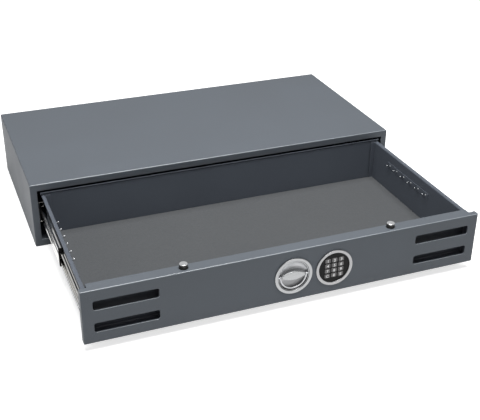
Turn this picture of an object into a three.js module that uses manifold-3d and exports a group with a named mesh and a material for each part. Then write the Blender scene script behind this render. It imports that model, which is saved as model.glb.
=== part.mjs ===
// Under desk drawer safe: a folded steel casing with one wide drawer on full extension slides.
// A turning handle drives two round bolts up through the drawer's front band, and a keypad sits beside it.
// Units are millimetres. The origin is the middle of the casing's underside.
// +X is to the right of someone facing the drawer, +Y runs back into the casing, +Z is up.
// The drawer stands fully open, with both bolts out.

import * as THREE from 'three';
import { mergeVertices } from 'three/addons/utils/BufferGeometryUtils.js';
import Module from 'manifold-3d';

const wasm = await Module();
wasm.setup();

// Casing
const CASING_WIDTH = 960;
const CASING_HEIGHT = 167;
const CASING_SHEET = 3;
const RIM_SHEET = 2.5;
const RIM_SIDE = 16.4;
const RIM_TOP = 17.4;
const RIM_BOTTOM = 18.4;
const RIM_TOP_LIP = 45;
const RIM_BOTTOM_LIP = 20;
const STRIKE_RAIL_SHEET = 5;
const STRIKE_RAIL_DEPTH = 36;
const STRIKE_CLEARANCE = 1;
const BUFFER_WIDTH = 760;
const BUFFER_HEIGHT = 14;
const BUFFER_GAP = 0.5;
const REAR_SPACE = 10;

// Drawer
const TRAVEL = 457;
const DRAWER_DEPTH = 460;
const DRAWER_SHEET = 1.5;
const PANEL_SHEET = 2.5;
const PANEL_GAP_SIDE = 2;
const PANEL_GAP_TOP = 2.7;
const PANEL_GAP_BOTTOM = 1.9;
const BAND_DEPTH = 29;
const BAND_END_DEPTH = 14;
const BAND_NOTCH = 0.3;
const SIDE_RETURN_DEPTH = 19;
const SEAM = 0.3;
const FLOOR_RISE = 6.7;
const WALL_DROP = 9.4;
const BACK_DROP = 2.9;
const WALL_TOP_FLANGE = 9.5;
const WALL_FOOT_FLANGE = 12;
const BACK_FLANGE = 2.2;
const MAT_THICKNESS = 4;
const MAT_GAP = 1;

// Drawer slides
const SLIDE_THICKNESS = 14;
const SLIDE_HEIGHT = 53;
const SLIDE_SHEET = 1.4;
const SLIDE_SETBACK = 20;
const SLIDE_INSET = 0.9;
const SLIDE_RUNNING_GAP = 1.6;
const OUTER_LIP_SETBACK = 2.5;
const INNER_LIP_AT = 6;
const BALL_RADIUS = 1.75;
const BALL_CLEARANCE = 0.25;
const BALL_COUNT = 6;
const BALL_PITCH = 27;
const CAGE_THICKNESS = 1;
const CAGE_WEB = 0.6;
const CAGE_GAP = 0.5;
const CAGE_WIDTH = 6;
const CAGE_LENGTH = 150;
const OUTER_HOOK = 2.2;
const END_CAP_LENGTH = 6;
const END_CAP_OVERLAP = 1.3;
const END_CAP_WEB = 3;
const BRACKET_SHEET = 2;
const BRACKET_FOOT = 12;

// Finger slots in the front
const SLOT_EDGE = 23.6;
const SLOT_LENGTH = 138;
const SLOT_HEIGHT = 22;
const SLOT_SPACING = 52.8;
const SLOT_RADIUS = 5;
const SLOT_PAN_MARGIN = 5;
const SLOT_PAN_DEPTH = 20;
const SLOT_PAN_SHEET = 1.2;

// Handle, keypad and bolt work
const LOCK_HEIGHT = 83;
const RING_RADIUS = 44;
const RING_INNER = 37;
const RING_PROUD = 3;
const RING_CHAMFER = 1;
const BARREL_WALL = 1.8;
const BARREL_DEPTH = 14;
const HOUSING_FLOOR = 1.6;
const PANEL_HOLE_CLEARANCE = 0.4;
const DISH_CLEARANCE = 0.6;
const DISH_RIM = 1.4;
const DISH_PROUD = 1.2;
const DISH_BOWL_DEPTH = 9.5;
const DISH_EDGE = 0.6;
// The bowl's curve from its middle out: a share of its radius, and the rise from its deepest point
const DISH_BOWL_CURVE = [[0, 0], [0.35, 0.2], [0.65, 1.1], [0.85, 2.9], [0.97, 4.9], [1, 7]];
const GRIP_HALF_LENGTH = 27.3;
const GRIP_HALF_HEIGHT = 11.2;
const GRIP_END_HALF_HEIGHT = 3.5;
const GRIP_PROUD = 1.8;
const BAIL_OUTER = 32.6;
const BAIL_INNER = 28;
const BAIL_FRONT = -1.3;
const BAIL_BACK = 2.3;
const BAIL_EYE_RADIUS = 3;
const BAIL_PIN_RADIUS = 1.4;
const PIVOT_CLEARANCE = 0.3;
const SPINDLE_RADIUS = 5;
const SPINDLE_END = 24.5;
const CAM_RADIUS = 36;
const CAM_THICKNESS = 4;
const CAM_FRONT = 15.2;
const CAM_PIN_START = 30;
const BOLT_STROKE = 14;
const HANDLE_TURN = Math.PI / 2;
const CAM_SLOT_OVERRUN = 0.06;
const PIN_RADIUS = 3;
const PIN_CLEARANCE = 0.3;
const BAR_THICKNESS = 3;
const BAR_FRONT = 20.2;
const BAR_HALF_HEIGHT = 9;
const BAR_INNER_MARGIN = 8;
const BAR_PLATE_HALF_HEIGHT = 19;
const BAR_PLATE_MARGIN = 11;
const BOLT_SPACING = 484;
const BOLT_RADIUS = 9;
const BOLT_SETBACK = 17.8;
const BOLT_PROUD = 10;
const BOLT_FOOT_GAP = 1;
const BOLT_HOLE_CLEARANCE = 0.4;
const BOLT_CHAMFER = 0.8;
const BOLT_FLAT_GAP = 0.4;
const BOLT_FLAT_MARGIN = 1;
const BOLT_PIN_OFFSET = 1;
const BOLT_GUIDE_HEIGHT = 18;
const BOLT_GUIDE_HALF_WIDTH = 15;
const BOLT_GUIDE_DROP = 4.4;
const BAR_GUIDE_X = 150;
const BAR_GUIDE_HALF_WIDTH = 10;
const BAR_GUIDE_WALL = 5;
const CHASSIS_SHEET = 2;
const LOCK_BODY_WIDTH = 70;
const LOCK_BODY_HEIGHT = 62;
const LOCK_BODY_GAP = 8;
const LOCK_BODY_BAR_GAP = 0.7;
const KEYPAD_X = 97.4;
const KEYPAD_RECESS = 2.5;
const KEYPAD_BODY_GAP = 0.3;
const KEYPAD_BODY_DEPTH = 11;
const KEY_PITCH_X = 16.2;
const KEY_PITCH_Z = 12.8;
const KEY_WIDTH = 12.6;
const KEY_HEIGHT = 10;
const KEY_CORNER = 2;
const KEY_PROUD = 1.2;
const KEY_DEPTH = 4;
const KEY_TRAVEL_ROOM = 1.5;
const KEY_CLEARANCE = 0.3;
const KEY_NAMES = [
  ['key_1', 'key_2', 'key_3'],
  ['key_4', 'key_5', 'key_6'],
  ['key_7', 'key_8', 'key_9'],
  ['key_clear', 'key_0', 'key_enter'],
];

// Key rails inside the drawer
const HOOK_COUNT = 6;
const HOOK_PITCH = 35;
const HOOK_FIRST = 192;
const HOOK_HEIGHT = 105;
const HOOK_LENGTH = 10;
const HOOK_RADIUS = 1.5;
const HOOK_HEAD_RADIUS = 2.8;
const HOOK_HEAD_THICKNESS = 2.2;
const HOOK_RAIL_HEIGHT = 14;
const HOOK_RAIL_END = 12;
const HOOK_BASE_THICKNESS = 1.2;
const HOOK_TILT = 0.28;

// Facets of round pieces, and steps of curves
const FACETS_LARGE = 48;
const FACETS_MEDIUM = 24;
const FACETS_SMALL = 12;
const FACETS_STEM = 8;
const BALL_FACETS = 6;
const BALL_RINGS = 4;
const SLOT_CORNER_STEPS = 4;
const KEY_CORNER_STEPS = 3;
const GRIP_STEPS = 12;
const BAIL_STEPS = 20;
const CAM_SLOT_STEPS = 18;

// How far a cutting solid reaches past what it cuts, and how close points are welded
const CUT_MARGIN = 1;
const WELD_DISTANCE = 1e-4;

// Places worked out from the sizes above
const casingDepth = DRAWER_DEPTH + REAR_SPACE;
const front = -casingDepth / 2;
const back = casingDepth / 2;
const halfWidth = CASING_WIDTH / 2;
const openingHalf = halfWidth - RIM_SIDE;
const openingTop = CASING_HEIGHT - RIM_TOP;
const panelHalf = openingHalf - PANEL_GAP_SIDE;
const panelTop = openingTop - PANEL_GAP_TOP;
const panelBottom = RIM_BOTTOM + PANEL_GAP_BOTTOM;
const slotOuter = panelHalf - SLOT_EDGE;
const slotInner = slotOuter - SLOT_LENGTH;
const slidePlane = panelHalf - SLIDE_INSET;
const slideLength = DRAWER_DEPTH - SLIDE_SETBACK;
const wallOuter = slidePlane - SLIDE_THICKNESS;
const wallInner = wallOuter - DRAWER_SHEET;
const footBottom = panelBottom + FLOOR_RISE;
const floorBottom = footBottom + DRAWER_SHEET;
const floorTop = floorBottom + DRAWER_SHEET;
const bandBottom = panelTop - PANEL_SHEET;
const flangeOuter = wallOuter + WALL_TOP_FLANGE;
const wallTop = panelTop - WALL_DROP;
const backTop = panelTop - BACK_DROP;
const backFront = DRAWER_DEPTH - DRAWER_SHEET;
const coverFront = BAND_DEPTH - DRAWER_SHEET;
const bandHalf = wallInner - BAND_NOTCH;
const boltX = BOLT_SPACING / 2;
const barrelRadius = RING_INNER + BARREL_WALL;
const barBack = BAR_FRONT + BAR_THICKNESS;
const boltPinHeight = LOCK_HEIGHT + BOLT_STROKE / 2 + BOLT_PIN_OFFSET;
const barPlateTop = LOCK_HEIGHT + BAR_PLATE_HALF_HEIGHT;
const boltFlatTop = barPlateTop + BOLT_STROKE + BOLT_FLAT_MARGIN;
const pinSlotHalf = PIN_RADIUS + PIN_CLEARANCE;

// Materials
const paint = new THREE.MeshStandardMaterial({ color: 0x565b63, roughness: 0.55, metalness: 0.2 });
const paintDark = new THREE.MeshStandardMaterial({ color: 0x2b2f35, roughness: 0.6, metalness: 0.2 });
const zinc = new THREE.MeshStandardMaterial({ color: 0xb4b6b8, roughness: 0.35, metalness: 0.9 });
const satinChrome = new THREE.MeshStandardMaterial({ color: 0xd2d3d5, roughness: 0.25, metalness: 1 });
const chrome = new THREE.MeshStandardMaterial({ color: 0xe6e8ea, roughness: 0.08, metalness: 1 });
const blackPlastic = new THREE.MeshStandardMaterial({ color: 0x17181a, roughness: 0.5, metalness: 0 });
const rubber = new THREE.MeshStandardMaterial({ color: 0x1c1c1c, roughness: 0.9, metalness: 0 });
const felt = new THREE.MeshStandardMaterial({ color: 0x61615d, roughness: 0.95, metalness: 0 });

// Solids
function signedVolume(position, index) {
  const a = new THREE.Vector3();
  const b = new THREE.Vector3();
  const c = new THREE.Vector3();
  let volume = 0;
  for (let i = 0; i < index.length; i += 3) {
    a.fromBufferAttribute(position, index[i]);
    b.fromBufferAttribute(position, index[i + 1]);
    c.fromBufferAttribute(position, index[i + 2]);
    volume += a.dot(b.cross(c));
  }
  return volume;
}

function solid(geometry) {
  const plain = geometry.clone();
  plain.deleteAttribute('normal');
  plain.deleteAttribute('uv');
  const merged = mergeVertices(plain, WELD_DISTANCE);
  const position = merged.getAttribute('position');
  const kept = [];
  for (let i = 0; i < merged.index.count; i += 3) {
    const [a, b, c] = [0, 1, 2].map((k) => merged.index.getX(i + k));
    if (a !== b && b !== c && c !== a) kept.push(a, b, c);
  }
  if (signedVolume(position, kept) < 0) kept.reverse();
  return new wasm.Manifold(new wasm.Mesh({
    numProp: 3,
    vertProperties: new Float32Array(position.array),
    triVerts: new Uint32Array(kept),
  }));
}

function union(solids) {
  return solids.reduce((sum, next) => sum.add(next));
}

function node(name, body, material) {
  const mesh = body.getMesh();
  const geometry = new THREE.BufferGeometry();
  geometry.setAttribute('position', new THREE.BufferAttribute(new Float32Array(mesh.vertProperties), 3));
  geometry.setIndex(new THREE.BufferAttribute(new Uint32Array(mesh.triVerts), 1));
  geometry.computeVertexNormals();
  const object = new THREE.Mesh(geometry, material);
  object.name = name;
  return object;
}

function block(x0, x1, y0, y1, z0, z1) {
  const geometry = new THREE.BoxGeometry(Math.abs(x1 - x0), Math.abs(y1 - y0), Math.abs(z1 - z0));
  geometry.translate((x0 + x1) / 2, (y0 + y1) / 2, (z0 + z1) / 2);
  return solid(geometry);
}

function outline(points) {
  return new THREE.Shape(points.map(([x, y]) => new THREE.Vector2(x, y)));
}

// A flat shape in X and Z, made solid from y0 to y1
function alongY(shape, y0, y1, curveSegments = 1) {
  const geometry = new THREE.ExtrudeGeometry(shape, { depth: y1 - y0, bevelEnabled: false, curveSegments });
  geometry.rotateX(Math.PI / 2);
  geometry.translate(0, y1, 0);
  return solid(geometry);
}

// A profile of radius and y, turned about the Y axis through x, z
function turned(profile, x, z, facets) {
  const geometry = new THREE.LatheGeometry(profile.map(([r, y]) => new THREE.Vector2(r, y)), facets);
  geometry.translate(x, 0, z);
  return solid(geometry);
}

function rodY(radius, y0, y1, x, z, facets) {
  return turned([[0, y0], [radius, y0], [radius, y1], [0, y1]], x, z, facets);
}

function rodZ(profile, x, y, facets) {
  const geometry = new THREE.LatheGeometry(profile.map(([r, z]) => new THREE.Vector2(r, z)), facets);
  geometry.rotateX(Math.PI / 2);
  geometry.translate(x, y, 0);
  return solid(geometry);
}

function rodX(radius, x0, x1, y, z, facets) {
  const geometry = new THREE.CylinderGeometry(radius, radius, Math.abs(x1 - x0), facets);
  geometry.rotateZ(Math.PI / 2);
  geometry.translate((x0 + x1) / 2, y, z);
  return solid(geometry);
}

function roundedRectangle(x0, x1, z0, z1, r) {
  const shape = new THREE.Shape();
  shape.moveTo(x0 + r, z0);
  shape.lineTo(x1 - r, z0);
  shape.absarc(x1 - r, z0 + r, r, -Math.PI / 2, 0);
  shape.lineTo(x1, z1 - r);
  shape.absarc(x1 - r, z1 - r, r, 0, Math.PI / 2);
  shape.lineTo(x0 + r, z1);
  shape.absarc(x0 + r, z1 - r, r, Math.PI / 2, Math.PI);
  shape.lineTo(x0, z0 + r);
  shape.absarc(x0 + r, z0 + r, r, Math.PI, 1.5 * Math.PI);
  return shape;
}

// Casing
function casingShell() {
  const rear = front + RIM_SHEET;
  return union([
    block(-halfWidth, halfWidth, rear, back, CASING_HEIGHT - CASING_SHEET, CASING_HEIGHT),
    block(-halfWidth, CASING_SHEET - halfWidth, rear, back, 0, CASING_HEIGHT),
    block(halfWidth - CASING_SHEET, halfWidth, rear, back, 0, CASING_HEIGHT),
  ]);
}

function casingBase() {
  const half = halfWidth - CASING_SHEET;
  return block(-half, half, front + RIM_SHEET, back, 0, CASING_SHEET);
}

function casingBack() {
  const half = halfWidth - CASING_SHEET;
  return block(-half, half, back - CASING_SHEET, back, CASING_SHEET, CASING_HEIGHT - CASING_SHEET);
}

function strikeHoles(z0, z1) {
  const y = front + BOLT_SETBACK;
  const radius = BOLT_RADIUS + STRIKE_CLEARANCE;
  const profile = [[0, z0], [radius, z0], [radius, z1], [0, z1]];
  return rodZ(profile, -boltX, y, FACETS_MEDIUM).add(rodZ(profile, boltX, y, FACETS_MEDIUM));
}

function frontFrame() {
  const plate = block(-halfWidth, halfWidth, front, front + RIM_SHEET, 0, CASING_HEIGHT);
  const cutStart = front - CUT_MARGIN;
  const cutEnd = front + RIM_SHEET + CUT_MARGIN;
  const opening = block(-openingHalf, openingHalf, cutStart, cutEnd, RIM_BOTTOM, openingTop);
  const lipBack = front + RIM_TOP_LIP;
  const topLip = block(-openingHalf, openingHalf, front, lipBack, openingTop, openingTop + RIM_SHEET);
  const bottomBack = front + RIM_BOTTOM_LIP;
  const bottomLip = block(-openingHalf, openingHalf, front, bottomBack, RIM_BOTTOM - RIM_SHEET, RIM_BOTTOM);
  const holes = strikeHoles(openingTop - CUT_MARGIN, openingTop + RIM_SHEET + CUT_MARGIN);
  return plate.subtract(opening).add(topLip).add(bottomLip).subtract(holes);
}

function strikeRail() {
  const bottom = openingTop + RIM_SHEET;
  const top = bottom + STRIKE_RAIL_SHEET;
  const start = front + RIM_SHEET;
  const rail = block(-openingHalf, openingHalf, start, start + STRIKE_RAIL_DEPTH, bottom, top);
  return rail.subtract(strikeHoles(bottom - CUT_MARGIN, top + CUT_MARGIN));
}

function rearBuffer() {
  const start = front + DRAWER_DEPTH + BUFFER_GAP;
  const x = BUFFER_WIDTH / 2;
  const half = BUFFER_HEIGHT / 2;
  return block(-x, x, start, back - CASING_SHEET, LOCK_HEIGHT - half, LOCK_HEIGHT + half);
}

// Slides. The side is -1 on the left and 1 on the right, and s runs from the casing side to the drawer.
function slideSection(side, points) {
  return outline(points.map(([s, z]) => [side * (slidePlane - s), LOCK_HEIGHT + z]));
}

function channelPoints(webAt, lipsTo, halfHeight, sheet) {
  const inner = webAt < lipsTo ? webAt + sheet : webAt - sheet;
  return [
    [webAt, -halfHeight], [lipsTo, -halfHeight], [lipsTo, sheet - halfHeight], [inner, sheet - halfHeight],
    [inner, halfHeight - sheet], [lipsTo, halfHeight - sheet], [lipsTo, halfHeight], [webAt, halfHeight],
  ];
}

const ballGap = 2 * (BALL_RADIUS + BALL_CLEARANCE);
const outerHalf = SLIDE_HEIGHT / 2;
const middleHalf = outerHalf - SLIDE_SHEET - ballGap;
const innerHalf = middleHalf - SLIDE_SHEET - ballGap;
const middleWeb = SLIDE_SHEET + SLIDE_RUNNING_GAP;
const middleLips = SLIDE_THICKNESS - SLIDE_SHEET;
const outerLips = SLIDE_THICKNESS - OUTER_LIP_SETBACK;
const slideStart = front + SLIDE_SETBACK;

function slideOuter(side) {
  const end = slideStart + slideLength;
  const section = slideSection(side, channelPoints(0, outerLips, outerHalf, SLIDE_SHEET));
  const lip = outerHalf - SLIDE_SHEET;
  const x0 = side * (slidePlane - outerLips);
  const x1 = side * (slidePlane - outerLips + SLIDE_SHEET);
  const hooks = [-1, 1].map((up) => {
    const root = LOCK_HEIGHT + up * (lip + SLIDE_SHEET / 2);
    const tip = LOCK_HEIGHT + up * (lip - OUTER_HOOK);
    return block(x0, x1, slideStart, end, root, tip);
  });
  return union([alongY(section, slideStart, end), ...hooks]);
}

function slideMiddle(side) {
  const section = slideSection(side, channelPoints(middleWeb, middleLips, middleHalf, SLIDE_SHEET));
  return alongY(section, slideStart + END_CAP_LENGTH, slideStart + slideLength);
}

function slideEnd(side) {
  const points = channelPoints(middleWeb, middleLips, middleHalf + END_CAP_OVERLAP, END_CAP_WEB);
  return alongY(slideSection(side, points), slideStart, slideStart + END_CAP_LENGTH);
}

function slideInner(side) {
  const section = slideSection(side, channelPoints(SLIDE_THICKNESS, INNER_LIP_AT, innerHalf, SLIDE_SHEET));
  return alongY(section, SLIDE_SETBACK, SLIDE_SETBACK + slideLength);
}

// A thin channel with a row of balls above and below, which runs on the webs and lips around it
function ballCage(side, raceHalf, web, centre) {
  const half = raceHalf + ballGap / 2 + CAGE_THICKNESS / 2;
  const lips = web + CAGE_WEB + CAGE_WIDTH;
  const inner = web + CAGE_WEB;
  const start = centre - CAGE_LENGTH / 2;
  const firstBall = centre - (BALL_COUNT - 1) * BALL_PITCH / 2;
  const x = side * (slidePlane - inner - CAGE_WIDTH / 2);
  const channel = slideSection(side, [
    [web, -half], [lips, -half], [lips, CAGE_THICKNESS - half], [inner, CAGE_THICKNESS - half],
    [inner, half - CAGE_THICKNESS], [lips, half - CAGE_THICKNESS], [lips, half], [web, half],
  ]);
  const pieces = [alongY(channel, start, start + CAGE_LENGTH)];
  for (const up of [-1, 1]) {
    const z = LOCK_HEIGHT + up * (raceHalf + ballGap / 2);
    for (let i = 0; i < BALL_COUNT; i += 1) {
      const ball = new THREE.SphereGeometry(BALL_RADIUS, BALL_FACETS, BALL_RINGS);
      ball.rotateX(Math.PI / 2);
      ball.translate(x, firstBall + i * BALL_PITCH, z);
      pieces.push(solid(ball));
    }
  }
  return union(pieces);
}

function slideBracket(side) {
  const wall = halfWidth - CASING_SHEET;
  const web = slidePlane + BRACKET_SHEET;
  const half = outerHalf;
  const foot = half + BRACKET_FOOT;
  const points = [
    [slidePlane, -half], [wall - BRACKET_SHEET, -half], [wall - BRACKET_SHEET, -foot], [wall, -foot],
    [wall, BRACKET_SHEET - half], [web, BRACKET_SHEET - half], [web, half - BRACKET_SHEET],
    [wall, half - BRACKET_SHEET], [wall, foot], [wall - BRACKET_SHEET, foot],
    [wall - BRACKET_SHEET, half], [slidePlane, half],
  ];
  const shape = outline(points.map(([x, z]) => [side * x, LOCK_HEIGHT + z]));
  return alongY(shape, slideStart, slideStart + slideLength);
}

// Drawer. Here y is counted back from the front panel's face.
function frontPanel() {
  const plate = union([
    block(-panelHalf, panelHalf, 0, PANEL_SHEET, panelBottom, panelTop),
    block(-bandHalf, bandHalf, 0, BAND_DEPTH, bandBottom, panelTop),
    block(-panelHalf, panelHalf, 0, BAND_END_DEPTH, bandBottom, panelTop),
    block(-panelHalf, panelHalf, 0, SIDE_RETURN_DEPTH, panelBottom, panelBottom + PANEL_SHEET),
    block(-panelHalf, PANEL_SHEET - panelHalf, 0, SIDE_RETURN_DEPTH, panelBottom, bandBottom),
    block(panelHalf - PANEL_SHEET, panelHalf, 0, SIDE_RETURN_DEPTH, panelBottom, bandBottom),
  ]);
  const cutEnd = PANEL_SHEET + CUT_MARGIN;
  const cuts = [];
  for (const side of [-1, 1]) {
    for (const up of [-1, 1]) {
      const x = [side * slotInner, side * slotOuter].sort((a, b) => a - b);
      const z = LOCK_HEIGHT + up * SLOT_SPACING / 2;
      const shape = roundedRectangle(x[0], x[1], z - SLOT_HEIGHT / 2, z + SLOT_HEIGHT / 2, SLOT_RADIUS);
      cuts.push(alongY(shape, -CUT_MARGIN, cutEnd, SLOT_CORNER_STEPS));
    }
    const radius = BOLT_RADIUS + BOLT_HOLE_CLEARANCE;
    const z0 = bandBottom - CUT_MARGIN;
    const z1 = panelTop + CUT_MARGIN;
    const profile = [[0, z0], [radius, z0], [radius, z1], [0, z1]];
    cuts.push(rodZ(profile, side * boltX, BOLT_SETBACK, FACETS_MEDIUM));
  }
  for (const x of [0, KEYPAD_X]) {
    cuts.push(rodY(barrelRadius + PANEL_HOLE_CLEARANCE, -CUT_MARGIN, cutEnd, x, LOCK_HEIGHT, FACETS_LARGE));
  }
  return plate.subtract(union(cuts));
}

function lockCover() {
  return block(-wallInner, wallInner, coverFront, BAND_DEPTH, floorTop, bandBottom);
}

function slotPan(side) {
  const x0 = side * (slotInner - SLOT_PAN_MARGIN);
  const x1 = side * (slotOuter + SLOT_PAN_MARGIN);
  const half = SLOT_SPACING / 2 + SLOT_HEIGHT / 2 + SLOT_PAN_MARGIN;
  const z0 = LOCK_HEIGHT - half;
  const z1 = LOCK_HEIGHT + half;
  const end = PANEL_SHEET + SLOT_PAN_DEPTH;
  const t = SLOT_PAN_SHEET;
  const hollow = block(x0 + side * t, x1 - side * t, PANEL_SHEET - CUT_MARGIN, end - t, z0 + t, z1 - t);
  return block(x0, x1, PANEL_SHEET, end, z0, z1).subtract(hollow);
}

function drawerWall(side) {
  const flangeStart = BAND_END_DEPTH + SEAM;
  const foot = wallInner - WALL_FOOT_FLANGE;
  const sheet = DRAWER_SHEET;
  return union([
    block(side * wallInner, side * wallOuter, PANEL_SHEET, DRAWER_DEPTH, footBottom, wallTop),
    block(side * wallInner, side * flangeOuter, flangeStart, DRAWER_DEPTH, wallTop - sheet, wallTop),
    block(side * foot, side * wallOuter, PANEL_SHEET, backFront, footBottom, floorBottom),
    block(side * foot, side * wallOuter, backFront - sheet, backFront, floorTop, wallTop),
  ]);
}

function drawerFloor() {
  return block(-wallInner, wallInner, PANEL_SHEET, backFront - DRAWER_SHEET, floorBottom, floorTop);
}

// The back stands higher than the walls, and its top reaches out over their flanges
function drawerBack() {
  const overWall = wallTop + SEAM;
  return union([
    block(-wallInner, wallInner, backFront, DRAWER_DEPTH, footBottom, backTop),
    block(-flangeOuter, flangeOuter, backFront, DRAWER_DEPTH, overWall, backTop),
    block(-flangeOuter, flangeOuter, backFront - BACK_FLANGE, backFront, backTop - DRAWER_SHEET, backTop),
  ]);
}

function floorMat() {
  const half = wallInner - MAT_GAP;
  const end = backFront - DRAWER_SHEET - MAT_GAP;
  return block(-half, half, BAND_DEPTH + MAT_GAP, end, floorTop, floorTop + MAT_THICKNESS);
}

// The ring that shows in front and the barrel that goes through the panel, at x
function ringProfile(innerProfile) {
  return [
    ...innerProfile,
    [RING_INNER, -RING_PROUD + RING_CHAMFER], [RING_INNER + RING_CHAMFER, -RING_PROUD],
    [RING_RADIUS - RING_CHAMFER, -RING_PROUD], [RING_RADIUS, -RING_PROUD + RING_CHAMFER],
    [RING_RADIUS, 0], [barrelRadius, 0], [barrelRadius, BARREL_DEPTH],
  ];
}

function handleHousing() {
  const hole = SPINDLE_RADIUS + PIVOT_CLEARANCE;
  const floorAt = BARREL_DEPTH - HOUSING_FLOOR;
  const profile = ringProfile([[hole, BARREL_DEPTH], [hole, floorAt], [RING_INNER, floorAt]]);
  return turned([...profile, profile[0]], 0, LOCK_HEIGHT, FACETS_LARGE);
}

function keypadRing() {
  const profile = ringProfile([[RING_INNER, BARREL_DEPTH]]);
  return turned([...profile, profile[0]], KEYPAD_X, LOCK_HEIGHT, FACETS_LARGE);
}

function keyPlace(column, row) {
  const columnsFromMiddle = column - (KEY_NAMES[0].length - 1) / 2;
  const rowsAboveMiddle = (KEY_NAMES.length - 1) / 2 - row;
  return [KEYPAD_X + columnsFromMiddle * KEY_PITCH_X, LOCK_HEIGHT + rowsAboveMiddle * KEY_PITCH_Z];
}

const keypadFace = KEYPAD_RECESS - RING_PROUD;

function keyShape(column, row, clearance) {
  const [x, z] = keyPlace(column, row);
  const halfX = KEY_WIDTH / 2 + clearance;
  const halfZ = KEY_HEIGHT / 2 + clearance;
  return roundedRectangle(x - halfX, x + halfX, z - halfZ, z + halfZ, KEY_CORNER + clearance);
}

function keypadBody() {
  const radius = RING_INNER - KEYPAD_BODY_GAP;
  const pocketEnd = keypadFace + KEY_DEPTH + KEY_TRAVEL_ROOM;
  const disc = rodY(radius, keypadFace, KEYPAD_BODY_DEPTH, KEYPAD_X, LOCK_HEIGHT, FACETS_LARGE);
  const pockets = KEY_NAMES.flatMap((names, row) => names.map((name, column) => {
    const shape = keyShape(column, row, KEY_CLEARANCE);
    return alongY(shape, keypadFace - CUT_MARGIN, pocketEnd, KEY_CORNER_STEPS);
  }));
  return disc.subtract(union(pockets));
}

function keypadKey(column, row) {
  const shape = keyShape(column, row, 0);
  return alongY(shape, keypadFace - KEY_PROUD, keypadFace + KEY_DEPTH, KEY_CORNER_STEPS);
}

function lockBody() {
  const x1 = -(CAM_RADIUS + LOCK_BODY_GAP);
  const half = LOCK_BODY_HEIGHT / 2;
  const end = BAR_FRONT - LOCK_BODY_BAR_GAP;
  return block(x1 - LOCK_BODY_WIDTH, x1, PANEL_SHEET, end, LOCK_HEIGHT - half, LOCK_HEIGHT + half);
}

function boltGuide(side) {
  const top = bandBottom - BOLT_GUIDE_DROP;
  const bottom = top - BOLT_GUIDE_HEIGHT;
  const radius = BOLT_RADIUS + PIN_CLEARANCE;
  const z0 = bottom - CUT_MARGIN;
  const z1 = top + CUT_MARGIN;
  const profile = [[0, z0], [radius, z0], [radius, z1], [0, z1]];
  const start = BOLT_SETBACK - BOLT_GUIDE_HALF_WIDTH;
  const x = side * boltX;
  const guide = block(x - BOLT_GUIDE_HALF_WIDTH, x + BOLT_GUIDE_HALF_WIDTH, start, coverFront, bottom, top);
  return guide.subtract(rodZ(profile, x, BOLT_SETBACK, FACETS_MEDIUM));
}

// A plate on the lock cover with a window near each end for a drive bar
function lockChassis() {
  const gap = PIN_CLEARANCE;
  const half = BAR_HALF_HEIGHT + BAR_GUIDE_WALL;
  const start = BAR_FRONT - gap - BAR_GUIDE_WALL;
  const reach = BAR_GUIDE_X + BAR_GUIDE_HALF_WIDTH;
  const bottom = LOCK_HEIGHT - half;
  const top = LOCK_HEIGHT + half;
  const plate = block(-reach, reach, coverFront - CHASSIS_SHEET, coverFront, bottom, top);
  const windowHalf = BAR_HALF_HEIGHT + gap;
  const guides = [-1, 1].map((side) => {
    const x0 = side * BAR_GUIDE_X - BAR_GUIDE_HALF_WIDTH;
    const x1 = side * BAR_GUIDE_X + BAR_GUIDE_HALF_WIDTH;
    const window = block(x0 - CUT_MARGIN, x1 + CUT_MARGIN, BAR_FRONT - gap, barBack + gap,
      LOCK_HEIGHT - windowHalf, LOCK_HEIGHT + windowHalf);
    return block(x0, x1, start, coverFront, bottom, top).subtract(window);
  });
  return union([plate, ...guides]);
}

function keyHook(side, y) {
  const stem = new THREE.CylinderGeometry(HOOK_RADIUS, HOOK_RADIUS, HOOK_LENGTH, FACETS_STEM);
  stem.translate(0, HOOK_LENGTH / 2, 0);
  const head = new THREE.CylinderGeometry(
    HOOK_HEAD_RADIUS, HOOK_HEAD_RADIUS, HOOK_HEAD_THICKNESS, FACETS_SMALL);
  head.translate(0, HOOK_LENGTH + HOOK_HEAD_THICKNESS / 2, 0);
  return union([stem, head].map((piece) => {
    piece.rotateX(HOOK_TILT);
    piece.translate(0, HOOK_BASE_THICKNESS / 2, 0);
    piece.rotateZ(side * Math.PI / 2);
    piece.translate(side * wallInner, y, HOOK_HEIGHT);
    return solid(piece);
  }));
}

function keyRail(side) {
  const last = HOOK_FIRST + (HOOK_COUNT - 1) * HOOK_PITCH;
  const half = HOOK_RAIL_HEIGHT / 2;
  const pieces = [block(side * (wallInner - HOOK_BASE_THICKNESS), side * wallInner,
    HOOK_FIRST - HOOK_RAIL_END, last + HOOK_RAIL_END, HOOK_HEIGHT - half, HOOK_HEIGHT + half)];
  for (let i = 0; i < HOOK_COUNT; i += 1) pieces.push(keyHook(side, HOOK_FIRST + i * HOOK_PITCH));
  return union(pieces);
}

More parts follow.
